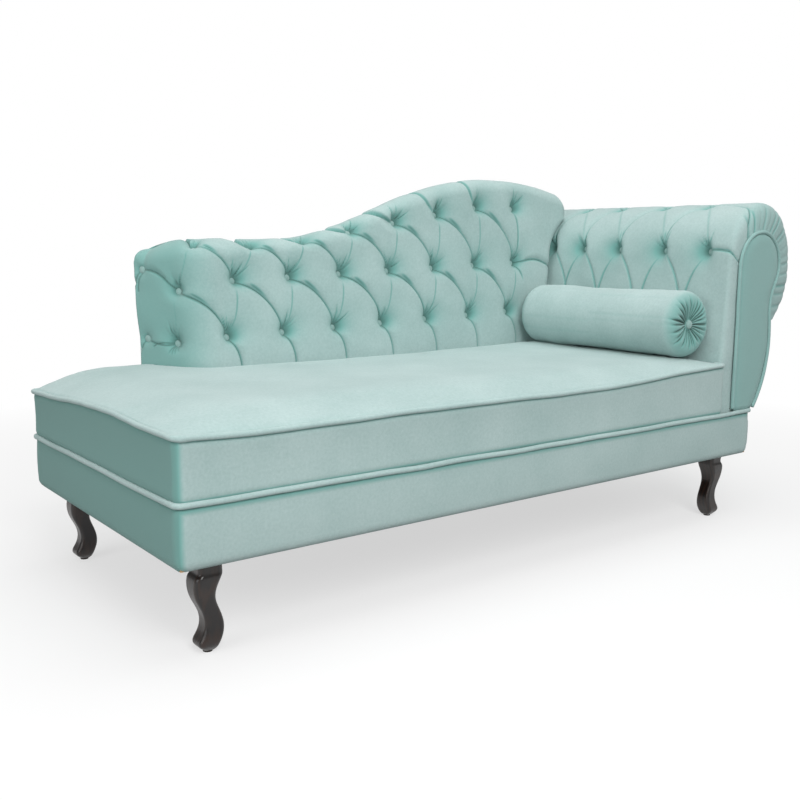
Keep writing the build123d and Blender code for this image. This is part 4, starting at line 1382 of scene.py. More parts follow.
@dataclass(frozen=True)
class Tufting:
    """Buttons and pleats of one padded face."""

    spots: Sequence[Spot]
    folds: Sequence[Fold]
    blend: float = 4.0

    def drawn(self, across: Array, up: Array) -> Pair:
        """Whole depth that buttons, pleats and wrinkles draw into the face, and their painted shade.

        Args:
            across, up: places on the face.

        Returns:
            Depth at each place, and the painted shade, from 0 on the open face to 1 in a crease.
        """
        total, shade_mark = np.zeros_like(across), np.zeros_like(across)
        for item in (*self.folds, *self.spots):
            depth, dark = item.drawn(across, up)
            total += depth**self.blend
            # Painted shade: the darkest of pleats, pits and wrinkles.
            shade_mark = np.maximum(shade_mark, dark)
        drawn = total ** (1.0 / self.blend)
        for spot in self.spots:
            depth, dark = spot.wrinkled(across, up)
            drawn += depth
            shade_mark = np.maximum(shade_mark, dark)
        return drawn, np.clip(shade_mark, 0.0, 1.0)


class ButtonMould:
    """Covered button, modelled once and copied to every tuft."""

    SIDES = 28
    RIM = 0.45
    DOME = ((0.86, 0.22), (0.66, 0.18), (0.4, 0.1))

    def __init__(self, radius: float, height: float) -> None:
        """Models the button at the origin, with its face towards Z.

        Args:
            radius: outer radius.
            height: thickness at the middle.
        """
        bpy.ops.object.select_all(action="DESELECT")
        depth = height * self.RIM
        bpy.ops.mesh.primitive_cylinder_add(vertices=self.SIDES, radius=radius, depth=depth)
        self.master = bpy.context.object
        bpy.ops.object.mode_set(mode="EDIT")
        for share, lift in self.DOME:
            self.select_top()
            bpy.ops.mesh.extrude_region_move(TRANSFORM_OT_translate={"value": (0.0, 0.0, height * lift)})
            bpy.ops.transform.resize(value=(share, share, 1.0))
        bpy.ops.object.mode_set(mode="OBJECT")
        active_only(self.master)
        soften = self.master.modifiers.new("soften", "SUBSURF")
        soften.levels = 1
        soften.render_levels = 1
        bpy.ops.object.modifier_apply(modifier=soften.name)
        bpy.ops.object.shade_smooth()

    def select_top(self) -> None:
        """Selects the highest face of the button."""
        bpy.ops.mesh.select_mode(type="FACE")
        bpy.ops.mesh.select_all(action="DESELECT")
        shell = bmesh.from_edit_mesh(self.master.data)
        max(shell.faces, key=lambda face: face.calc_center_median().z).select_set(True)
        bmesh.update_edit_mesh(self.master.data)

    def copies(self, name: str, places: Sequence[Pair]) -> Piece:
        """One piece that holds a button at every place, for which the mould is given up.

        Args:
            name: name of the piece.
            places: seat and outward direction of each button.

        Returns:
            The joined buttons.
        """
        made = []
        for seat, out in places:
            copy = self.master.copy()
            copy.data = self.master.data.copy()
            turn = Vector(out).to_track_quat("Z", "Y").to_matrix().to_4x4()
            copy.data.transform(Matrix.Translation(Vector(seat)) @ turn)
            bpy.context.scene.collection.objects.link(copy)
            made.append(copy)
        bpy.ops.object.select_all(action="DESELECT")
        for copy in made:
            copy.select_set(True)
        bpy.context.view_layer.objects.active = made[0]
        bpy.ops.object.join()
        made[0].name = name
        bpy.data.objects.remove(self.master)
        return made[0]


def dress_buttons(
    size: Point, places: Sequence[Pair], velvet: Material, replaces: str, body: Body = Body.SOFA
) -> None:
    """Puts covered buttons at their places, as one piece named for the node that it replaces."""
    buttons = ButtonMould(*size).copies(replaces.replace("_", "_covered_"), places)
    dress(buttons, velvet, [replaces], body)


# Base and seat


@dataclass(frozen=True)
class BaseApron:
    """Padded band round the base, its folded hem and the piping above it."""

    bench: Bench
    corner: float = 0.014
    lower_edge: float = 0.013
    padding: float = 0.0075
    hem_width: float = 0.03
    swell: float = 0.0016
    step: float = 0.011
    proud: float = 0.004
    cloth: float = 0.0013
    top_gap: float = 0.0005
    piping_step: float = 0.007
    piping_shade: float = 0.7

    def profile(self) -> Array:
        """Closed section of the band, as inset from the base's outline and height.

        Returns:
            The points.
        """
        bench = self.bench
        top = bench.rail_top - self.top_gap
        lap = bench.hem + self.cloth
        face = np.linspace(top, bench.hem + self.lower_edge, 16)
        turn = np.linspace(0.0, QUARTER_TURN, 6)[1:]
        height = bench.rail_top - bench.hem
        bulge = -self.swell * np.sin(math.pi * (face - bench.hem) / height)
        outer = stacked(bulge + self.swell, face)
        edge = stacked(
            self.lower_edge * (1.0 - np.cos(turn)) + self.swell,
            bench.hem + self.lower_edge * (1.0 - np.sin(turn)),
        )
        hem = [(self.hem_width, bench.hem), (self.hem_width, lap)]
        return np.concatenate([outer, edge, hem, [(self.padding, lap), (self.padding, top)]])

    def outline(self, inset: float) -> Array:
        """Rounded plan of the base at an inset, with a fixed number of points.

        Args:
            inset: distance inside the base's faces.

        Returns:
            The points as x and y.
        """
        bench = self.bench
        corners = [
            (bench.left + inset, bench.front + inset),
            (bench.right - inset, bench.front + inset),
            (bench.right - inset, bench.rear - inset),
            (bench.left + inset, bench.rear - inset),
        ]
        radius = max(self.corner - inset, 0.001)
        return rounded_path(corners, radius, self.step, closed=True)[:-1]

    def build(self) -> Piece:
        """Models the band.

        Returns:
            The band.
        """
        rings = []
        count = len(self.outline(0.0))
        for inset, height in self.profile():
            ring = self.outline(inset)
            spread = np.linspace(0.0, len(ring), count, endpoint=False)
            closed = np.vstack([ring, ring[:1]])
            x, y = (np.interp(spread, np.arange(len(closed)), line) for line in closed.T)
            rings.append(stacked(x, y, height))
        points = np.stack(rings)
        top = self.bench.rail_top
        # Painted shade under the piping and on the foot end.
        shade_under_piping = self.piping_shade * ramp(points[..., 2], top - 0.01, top - 0.003)
        shade = np.maximum(shade_under_piping, self.bench.foot_end_shade(points[..., 0]))
        faces = quads(*points.shape[:2], wrap_rows=True, wrap_cols=True)
        return closed_piece("base_apron", points, faces, shade)

    def piping(self) -> Piece:
        """Models the piping between base and seat.

        Returns:
            The piping.
        """
        bench = self.bench
        inset = bench.welt - self.proud
        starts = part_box("back_pad")[0].x
        stops = (bench.right - inset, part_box("arm_pad")[1].y)
        plan = bench.piping_plan(inset, self.corner, starts, stops, self.piping_step)
        height = bench.seam + bench.wave(plan[:, 0], plan[:, 1], 5)
        return tube("base_piping", np.column_stack([plan, height]), bench.welt)

    def dress(self, velvet: Material) -> None:
        """Builds the pieces and gives them their finish."""
        dress(self.build(), velvet, ["base_cover"])
        dress(self.piping(), velvet, ["base_welt"])


@dataclass(frozen=True)
class SeatCushion:
    """Long seat: crowned top, sewn border and piping."""

    bench: Bench
    back: BackPlan
    corner: float = 0.016
    crown_run: float = 0.13
    rear_run: float = 0.036
    tuck: float = 0.012
    tuck_run: float = 0.026
    arm_fall: float = 0.085
    groove: float = 0.004
    groove_run: float = 0.03
    side_draw: float = 0.0015
    border_rows: int = 24
    step: float = 0.009
    proud: float = 0.0045
    piping_step: float = 0.005
    piping_return: float = 0.03
    knot: float = 0.25
    knot_place: float = 0.012
    knot_width: float = 0.011
    gap: float = 0.0004
    edge_drop: float = 0.003
    foot_fall: float = 0.005
    arm_rise: float = 0.017
    side_rise: float = 0.004
    side_fall: float = 0.017
    pucker: float = 0.0011
    unevenness: float = 0.0022
    sag: float = 0.002
    floor_gap: float = 0.001
    edge_shade: float = 0.7

    @property
    def end(self) -> float:
        """Arm end of the cushion along X."""
        return float(self.back.arm.side(np.array(self.bench.border))) - self.gap

    def edge_line(self, x: Array, y: Array) -> Array:
        """Height of the sewn edge: low at the rear of the foot end, rising slightly to the arm.

        Args:
            x, y: places on the plan.

        Returns:
            Height at each place.
        """
        a, b = x - self.bench.left, y - self.bench.front
        along = -self.edge_drop - self.foot_fall * ramp(a, 0.0, 0.15) + self.arm_rise * ramp(a, 0.93, 1.4)
        side = self.side_rise * ramp(b, 0.1, 0.26) - self.side_fall * ramp(b, 0.26, 0.7)
        return self.bench.border + along + side * (1.0 - ramp(a, 0.0, 0.25)) + self.bench.wave(x, y, 3)

    def rear_edge(self, x: Array) -> Array:
        """Rear edge of the seat: the base's rear at the foot end, then the back's front.

        Args:
            x: places along X.

        Returns:
            Y at each place.
        """
        across = np.linspace(self.back.start, self.back.front_end, 400)
        plan, _ = self.back.outline(across)
        behind = np.interp(x, plan[:, 0], plan[:, 1], left=9.0) - self.gap
        return np.minimum(self.bench.rear, behind)

    def round_corner(self, a: Array, b: Array) -> Pair:
        """Rounds the corner where two distances from the edges are small.

        Args:
            a, b: distances from the two edges.

        Returns:
            The distances after rounding, with lines kept parallel to the edge.
        """
        radius = self.corner
        inside = (a < radius) & (b < radius)
        ring = radius - np.minimum(a, b)
        share = (radius - np.maximum(a, b)) / np.maximum(ring, TINY)
        turn = np.where(ring > TINY, share, 0.0) * math.pi / 4.0
        far = radius - ring * np.sin(turn)
        near = radius - ring * np.cos(turn)
        new_a, new_b = np.where(a <= b, [near, far], [far, near])
        return np.where(inside, new_a, a), np.where(inside, new_b, b)

    def set_in(self, distance: Array) -> Array:
        """Distance from an edge, with the sewn line itself set in behind the piping."""
        return distance + self.groove * (1.0 - ramp(distance, 0.0, self.groove_run))

    def top(self) -> Pair:
        """Top of the cushion as a grid of points, and how free of the back and arm each point is.

        Returns:
            The points and the shares.
        """
        bench = self.bench
        width = self.end - bench.left
        shares = graded(0.0, 1.0, 0.013, fine=0.0045, margin=0.036)
        a, share = np.meshgrid(graded(0.0, width, self.step), shares)
        depth = self.rear_edge(bench.left + a) - bench.front
        b = share * depth
        c = depth - b
        back_from = self.back.left - bench.left
        own_rear = 1.0 - ramp(a, back_from - 0.012, back_from + 0.016)
        a, b = self.round_corner(a, b)
        arm_side, b = self.round_corner(width - a, b)
        a, c_round = self.round_corner(width - arm_side, c)
        b = np.where(own_rear > 0.5, np.where(c < self.corner, depth - c_round, b), b)
        c = depth - b
        tucked = self.tuck / (bench.crown - bench.border) * (1.0 - ramp(c, 0.0, self.tuck_run))
        rear_rise = own_rear * dome(c, self.rear_run) + (1.0 - own_rear) * (1.0 - tucked)
        arm_drop = (1.0 - dome(arm_side, self.arm_fall)) * (1.0 - 0.6 * ramp(b, 0.05, 0.3))
        rise = dome(a, self.crown_run) * dome(b, self.crown_run) * rear_rise * (1.0 - arm_drop)
        x = bench.left + self.set_in(a)
        y = bench.front + self.set_in(b) - own_rear * (self.set_in(c) - c)
        edge = np.minimum(np.minimum(a, b), np.where(own_rear > 0.5, c, 1.0))
        near = 1.0 - ramp(edge, 0.0, 0.05)
        sewn = self.edge_line(x, y)
        pucker = self.pucker * ripple(x, y, 0.09, 11) * near * ramp(edge, 0.003, 0.016)
        sag = (self.unevenness * ripple(x, y, 0.9, 17) - self.sag) * ramp(edge, 0.05, 0.16)
        free = np.maximum(1.0 - ramp(np.minimum(a, b), 0.02, 0.05), own_rear * (1.0 - ramp(c, 0.02, 0.05)))
        return stacked(x, y, sewn + (bench.crown - sewn) * rise + pucker + sag), free

    def build(self) -> Piece:
        """Models the cushion and swells its top.

        Returns:
            The cushion.
        """
        top, free = self.top()
        rows, cols = free.shape
        loop = rim_loop(rows, cols)
        rim = top.reshape(-1, 3)[loop]
        heading = np.roll(rim, -1, 0)[:, :2] - np.roll(rim, 1, 0)[:, :2]
        outward = stacked(heading[:, 1], -heading[:, 0])
        outward *= (free.reshape(-1)[loop] / np.maximum(np.linalg.norm(outward, axis=1), TINY))[:, None]
        low = self.bench.seam + self.floor_gap
        share = np.linspace(0.0, 1.0, self.border_rows)[:, None]
        swell = ramp(share, 0.0, 0.13) - ramp(share, 0.88, 1.0)
        push = self.groove * swell - self.side_draw * np.sin(math.pi * share)
        border = np.repeat(rim[None], self.border_rows, 0)
        border[..., :2] += push[..., None] * outward
        border[..., 2] += (low - rim[:, 2]) * share
        under = top.copy()
        under[..., 2] = low
        points = np.concatenate([top.reshape(-1, 3), border.reshape(-1, 3), under.reshape(-1, 3)])
        faces = np.concatenate([
            quads(rows, cols),
            quads(self.border_rows, len(loop), wrap_cols=True) + rows * cols,
            quads(rows, cols)[:, ::-1] + rows * cols + border.shape[0] * border.shape[1],
        ])
        # Painted shade on the border only; top and underside have none.
        shade = self.shade(border)
        shade_level = np.concatenate([np.zeros(rows * cols), shade.reshape(-1), np.zeros(rows * cols)])
        piece = closed_piece("seat_cushion", points, faces, shade_level)
        placed = read_points(piece.data)
        lift = placed[:, 2] - self.edge_line(placed[:, 0], placed[:, 1])
        Swelling().apply(piece, 1.0 - ramp(lift, 0.004, 0.012))
        return piece

    def shade(self, border: Array) -> Array:
        """Painted shade of the border: dark beside the piping, and on the foot end.

        Args:
            border: points of the border.

        Returns:
            Painted shade at each point.
        """
        share = np.linspace(0.0, 1.0, self.border_rows)[:, None]
        beside = self.edge_shade * (1.0 - ramp(np.minimum(share, 1.0 - share), 0.03, 0.1))
        return np.maximum(beside, self.bench.foot_end_shade(border[..., 0]))

    def piping(self) -> Piece:
        """Models the piping along the seat's top edge, with its overlapped joint at the corner.

        Returns:
            The piping.
        """
        bench = self.bench
        inset = bench.welt - self.proud
        stops = (self.end - bench.welt, bench.front + self.piping_return)
        plan = bench.piping_plan(inset, self.corner, self.back.left, stops, self.piping_step)
        height = self.edge_line(plan[:, 0], plan[:, 1])
        from_joint = np.linalg.norm(plan - np.array([bench.left + self.knot_place, bench.front]), axis=1)
        radius = bench.welt * (1.0 + self.knot * np.exp(-((from_joint / self.knot_width) ** 2)))
        return tube("seat_piping", np.column_stack([plan, height]), radius)

    def dress(self, velvet: Material) -> None:
        """Builds the pieces and gives them their finish."""
        dress(self.build(), velvet, ["seat_cover", "seat_foam"])
        dress(self.piping(), velvet, ["seat_welt"])


# Back


@dataclass(frozen=True)
class TuftedBack:
    """Tufted padding of the back, its buttons and its outside panel."""

    bench: Bench
    plan: BackPlan
    columns: int = 8
    top_first: float = 0.318
    top_pitch: float = 0.1315
    top_heights: Sequence[float] = (0.652, 0.657, 0.668, 0.687, 0.709, 0.731, 0.752, 0.753)
    middle_first: float = 0.267
    middle_pitch: float = 0.14
    middle_low: float = 0.571
    middle_climb: float = 0.0056
    low_first: float = 0.2514
    low_pitch: float = 0.1393
    low_low: float = 0.4495
    low_climb: float = 0.0044
    corner_places: Sequence[float] = (0.302, 0.268, 0.254)
    corner_heights: Sequence[float] = (0.658, 0.555, 0.441)
    end_from_rear: float = 0.017
    end_heights: Sequence[float] = (0.602, 0.452)
    pit: float = 0.026
    pleat: float = 0.01
    end_puff: float = 0.01
    # Painted shade on the slanted foot end of the back.
    foot_end_shade: float = 0.42
    pleat_bow: float = 0.14
    foot: float = 0.345
    foot_tail: Point = (0.03, 0.385)
    fine_pleat: float = 0.0018
    over_run: Point = (0.125, 0.17)
    tuck_lift: Point = (0.003, 0.009)
    tuck: float = 0.0032
    button: Point = (0.0088, 0.007)
    button_sink: float = 0.002
    unevenness: float = 0.0012
    top_puff: float = 0.003
    panel_inset: float = 0.008
    panel_wrap: float = 0.0165
    panel_corner: float = 0.07
    panel_rise: float = 0.006
    panel_rim: float = 0.06
    panel_lap: float = 0.003
    over_folds: Sequence[tuple[float, float, float]] = (
        (0.028, 0.05, 0.02),
        (0.026, 0.036, 0.018),
        (0.04, 0.034, 0.014),
        (0.055, 0.03, 0.012),
        (0.074, 0.06, 0.014),
        (0.066, 0.088, 0.005),
        (0.042, 0.096, 0.005),
    )

    def rows(self) -> list[list[Point]]:
        """Button places from the top row down, along the plan and up the face.

        Returns:
            Three rows of places.
        """
        left = self.bench.left
        rows = [
            [(left + place, self.on_face(left + place, height))]
            for place, height in zip(self.corner_places, self.corner_heights)
        ]
        for index in range(1, self.columns):
            x = left + self.top_first + self.top_pitch * index
            rows[0].append((x, self.on_face(x, self.top_heights[index])))
            x = left + self.middle_first + self.middle_pitch * index
            rows[1].append((x, self.middle_low + self.middle_climb * index))
            x = left + self.low_first + self.low_pitch * index
            rows[2].append((x, self.low_low + self.low_climb * index))
        return rows

    def on_face(self, place: float, height: float) -> float:
        """Length up the face at which a height is reached.

        Args:
            place: place along the plan.
            height: the height.

        Returns:
            The length, which is longer than the height where the top edge turns over.
        """
        across = np.array(place)
        spring = float(self.plan.spring(across))
        radius = float(self.plan.rounding(across))
        if height <= spring:
            return height
        return spring + radius * math.asin(min((height - spring) / radius, 1.0))

    def end_places(self) -> list[Point]:
        """Button places on the foot end."""
        across = self.plan.start + self.end_from_rear
        return [(across, height) for height in self.end_heights]

    def tufting(self) -> Tufting:
        """Buttons and pleats of the face.

        Returns:
            The tufting.
        """
        top, middle, low = self.rows()
        ends = self.end_places()
        spots = [
            Spot(*place, depth=self.pit, seed=40 + index)
            for index, place in enumerate([*top, *middle, *low])
        ]
        spots += [Spot(*place, depth=0.012, narrow=0.012, wide=0.014, wrinkles=0) for place in ends]
        fine = {"bow": 0.08, "lip": 0.004, "slope": 0.005, "shade_mark": 0.55, "fade_in": 0.25, "crease": 0.002}
        folds = []
        for upper, lower in ((top, middle), (middle, low)):
            for first, last in zip(upper[:-1], lower[1:]):
                folds += self.pleat_between(first, last)
            folds += [Fold(first, last, self.fine_pleat, **fine) for first, last in zip(upper, lower)]
        for place, run in zip(top, self.over_folds):
            folds += self.over_fold(place, *run)
        aside, height = self.foot_tail
        folds += [Fold(place, (place[0] + aside, height), self.pleat, bow=0.1) for place in low[1:]]
        folds += self.end_folds(middle, low, ends)
        folds += self.arm_folds(top, middle)
        return Tufting(spots, folds)

    def over_fold(self, place: Point, back: float, rise: float, depth: float) -> list[Fold]:
        """Pleat from a button of the top row to the top edge, and on over the top.

        Args:
            place: the button.
            back, rise: how far to the left and up the pleat starts.
            depth: its depth.

        Returns:
            The two lengths of the pleat.
        """
        edge = (place[0] - back, place[1] + rise)
        rear = (edge[0] + self.over_run[0], edge[1] + self.over_run[1])
        return [
            Fold(place, edge, depth, bow=0.1, lip=0.008, slope=0.036, shade_mark=0.7),
            Fold(edge, rear, depth, lip=0.01, slope=0.044, shade_mark=0.4),
        ]

    def pleat_between(self, first: Point, last: Point) -> list[Fold]:
        """Main pleat between two buttons, and the short tuck that starts beside it.

        Args:
            first, last: the buttons.

        Returns:
            The pleat and the tuck.
        """
        main = Fold(first, last, self.pleat, bow=self.pleat_bow)
        path = main.line()
        lift = np.array(self.tuck_lift)
        ends = tuple(path[3] + lift), tuple(path[12] + 0.5 * lift)
        tuck = Fold(*ends, self.tuck, bow=0.05, lip=0.003, slope=0.007, fade_in=0.3, fade_out=0.6, shade_mark=0.8)
        return [main, tuck]

    def end_folds(self, middle: list[Point], low: list[Point], ends: list[Point]) -> list[Fold]:
        """Pleats of the foot end and of its rounded corner, and the gathers under the lowest button.

        Args:
            middle, low: buttons of the face's middle and low rows.
            ends: buttons of the foot end, the upper first.

        Returns:
            The pleats.
        """
        upper, lower = ends
        rear = self.plan.start
        beside = (upper[0] + 0.006, upper[1] - 0.004)
        thin = {"lip": 0.004, "slope": 0.012, "shade_mark": 0.9}
        folds = [
            Fold(upper, middle[0], 0.008, bow=0.16, slope=0.024),
            Fold((rear, upper[1] - 0.034), upper, 0.005, bow=0.08, **thin),
            Fold((rear + 0.008, upper[1] - 0.046), beside, 0.003, bow=0.1, **thin),
            Fold(lower, low[0], 0.006, bow=-0.09, **thin),
            Fold((lower[0] + 0.02, lower[1] - 0.016), low[0], 0.004, bow=0.12, **thin),
            Fold((rear, lower[1] - 0.032), lower, 0.005, bow=0.06, **thin),
        ]
        for turn in (-120.0, -95.0, -70.0, -42.0, -12.0):
            way = math.radians(turn)
            tip = (low[0][0] + 0.03 * math.cos(way), low[0][1] + 0.034 * math.sin(way))
            folds.append(Fold(low[0], tip, 0.003, lip=0.003, slope=0.006, fade_out=0.6, shade_mark=0.8))
        return folds

    def arm_folds(self, top: list[Point], middle: list[Point]) -> list[Fold]:
        """Pleats between the last buttons and the arm.

        Args:
            top, middle: buttons of the top and middle rows.

        Returns:
            The pleats.
        """
        arm_side = self.plan.right
        corner = middle[-1]
        tail = (corner[0] + 0.036, corner[1] - 0.052)
        return [
            Fold(top[-1], corner, 0.005, bow=0.09, lip=0.005, slope=0.014, shade_mark=0.7),
            Fold(corner, (arm_side, corner[1] - 0.016), 0.008, bow=0.09, slope=0.024),
            Fold(corner, tail, 0.006, bow=0.1, slope=0.018, fade_out=0.5),
        ]

    def grid(self) -> Pair:
        """Places across and up the face, over the top to the rear edge.

        Returns:
            The two grids.
        """
        plan = self.plan
        across = np.concatenate([
            np.linspace(plan.start, plan.front_end, 560),
            np.linspace(plan.front_end, plan.end, 40)[1:],
        ])
        spring = plan.spring(across)
        radius = plan.rounding(across)
        front = self.foot + np.linspace(0.0, 1.0, 165)[:, None] * (spring - self.foot)
        turn = spring + np.linspace(0.0, QUARTER_TURN, 23)[1:, None] * radius
        over = spring + radius * QUARTER_TURN + np.linspace(0.0, 1.0, 30)[1:, None] * plan.top_run(across)
        up = np.concatenate([front, turn, over])
        return np.broadcast_to(across, up.shape).copy(), up

    def on_end(self, across: Array) -> Array:
        """Share of the foot end, fading round its corner."""
        return 1.0 - ramp(across, self.plan.arc_start - 0.02, self.plan.front_start + 0.02)

    def swell(self, across: Array, up: Array) -> Array:
        """How far the stuffing pushes the face out, most along the top edge and on the foot end.

        Args:
            across, up: places on the face.

        Returns:
            Distance at each place.
        """
        spring = self.plan.spring(across)
        puff = ramp(up, 0.4, 0.55) * (1.0 - ramp(up, spring, spring + 0.06))
        rise = self.unevenness * ripple(across, up, 0.24, 23)
        rise += self.top_puff * ramp(up, spring - 0.08, spring)
        return rise + self.end_puff * self.on_end(across) * puff

    def build(self) -> Piece:
        """Models the tufted padding as one closed form.

        Returns:
            The padding.
        """
        across, up = self.grid()
        depth, shade_mark = self.tufting().drawn(across, up)
        point, out = self.plan.face(across, up)
        heights = point[..., 2]
        # Painted shade: pleats and pits, and the foot end.
        shade_mark = np.maximum(shade_mark, self.foot_end_shade * self.on_end(across))
        inward = depth - self.swell(across, up)
        point = self.plan.beside_arm(point - inward[..., None] * out, heights, self.plan.right)
        rear = self.rear_wall(point[-1], point[0])
        points = np.concatenate([point, rear])
        shade = np.concatenate([shade_mark, np.zeros(rear.shape[:2])])
        return closed_piece("back_tufting", points, quads(*points.shape[:2], wrap_rows=True), shade)

    def rear_wall(self, top_edge: Array, foot_edge: Array) -> Array:
        """Rows down the rear of the padding and under its foot.

        Args:
            top_edge: last row of the face, along the rear of the top.
            foot_edge: first row of the face, along the foot.

        Returns:
            The rows that close the form.
        """
        foot = top_edge.copy()
        foot[:, 2] = foot_edge[:, 2]
        rows = top_edge + np.linspace(0.0, 1.0, 31)[1:, None, None] * (foot - top_edge)
        return self.plan.beside_arm(rows, rows[..., 2], top_edge[:, 0].max())

    def button_places(self, tufting: Tufting) -> list[Pair]:
        """Seat and outward direction of every button.

        Args:
            tufting: the tufting that holds them.

        Returns:
            A pair of points for each button.
        """
        across, up = np.array([(spot.across, spot.up) for spot in tufting.spots]).T
        depth = tufting.drawn(across, up)[0] - self.swell(across, up) - self.button_sink
        point, out = self.plan.face(across, up)
        return list(zip(point - depth[:, None] * out, out))

    def outside_panel(self) -> Piece:
        """Models the covered panel over the rear, slightly padded.

        Returns:
            The panel.
        """
        plan = self.plan
        low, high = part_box("back_panel")
        left = plan.left + self.panel_inset
        x = graded(left, high.x, 0.012)
        share = graded(0.0, 1.0, 0.03, fine=0.006, margin=0.05)[:, None]
        crest = plan.rear_line(x) - self.panel_inset - round_off(x - left, self.panel_corner)
        z = low.z + share * (crest - low.z)
        edge = np.minimum(np.minimum(x - left, high.x - x), np.minimum(crest - z, z - low.z))
        bulge = self.panel_rise * dome(edge, self.panel_rim, PANEL_FULLNESS) + 0.0008 * ripple(x, z, 0.5, 31)
        outer = stacked(x, high.y - self.panel_rise + bulge, z)
        inner = stacked(x, low.y + PANEL_GAP, z)
        inner[:, -1, 1] -= self.panel_wrap
        faces = [self.plan.beside_arm(face, z, high.x, self.panel_lap) for face in (outer, inner)]
        return two_faced("back_outside_panel", *faces)

    def dress(self, velvet: Material, button_velvet: Material) -> None:
        """Builds the pieces and gives them their finish.

        Args:
            velvet: finish of the covers.
            button_velvet: finish of the buttons.
        """
        dress(self.build(), velvet, ["back_pad"])
        dress_buttons(self.button, self.button_places(self.tufting()), button_velvet, "back_buttons")
        dress(self.outside_panel(), velvet, ["back_panel"])


def two_faced(name: str, outer: Array, inner: Array, shade_level: float = 0.0) -> Piece:
    """Closed panel between two matching grids of points.

    Args:
        name: name of the piece.
        outer, inner: the two faces.
        shade_level: painted shade, the same over the whole panel, from 0 to 1.

    Returns:
        The panel.
    """
    rows, cols = outer.shape[:2]
    loop = rim_loop(rows, cols)
    points = np.concatenate([outer.reshape(-1, 3), inner.reshape(-1, 3)])
    ahead = np.roll(loop, -1)
    rim = np.stack([loop, ahead, ahead + rows * cols, loop + rows * cols], -1)
    faces = np.concatenate([quads(rows, cols), quads(rows, cols)[:, ::-1] + rows * cols, rim])
    return closed_piece(name, points, faces, np.full(len(points), shade_level))


# Arm


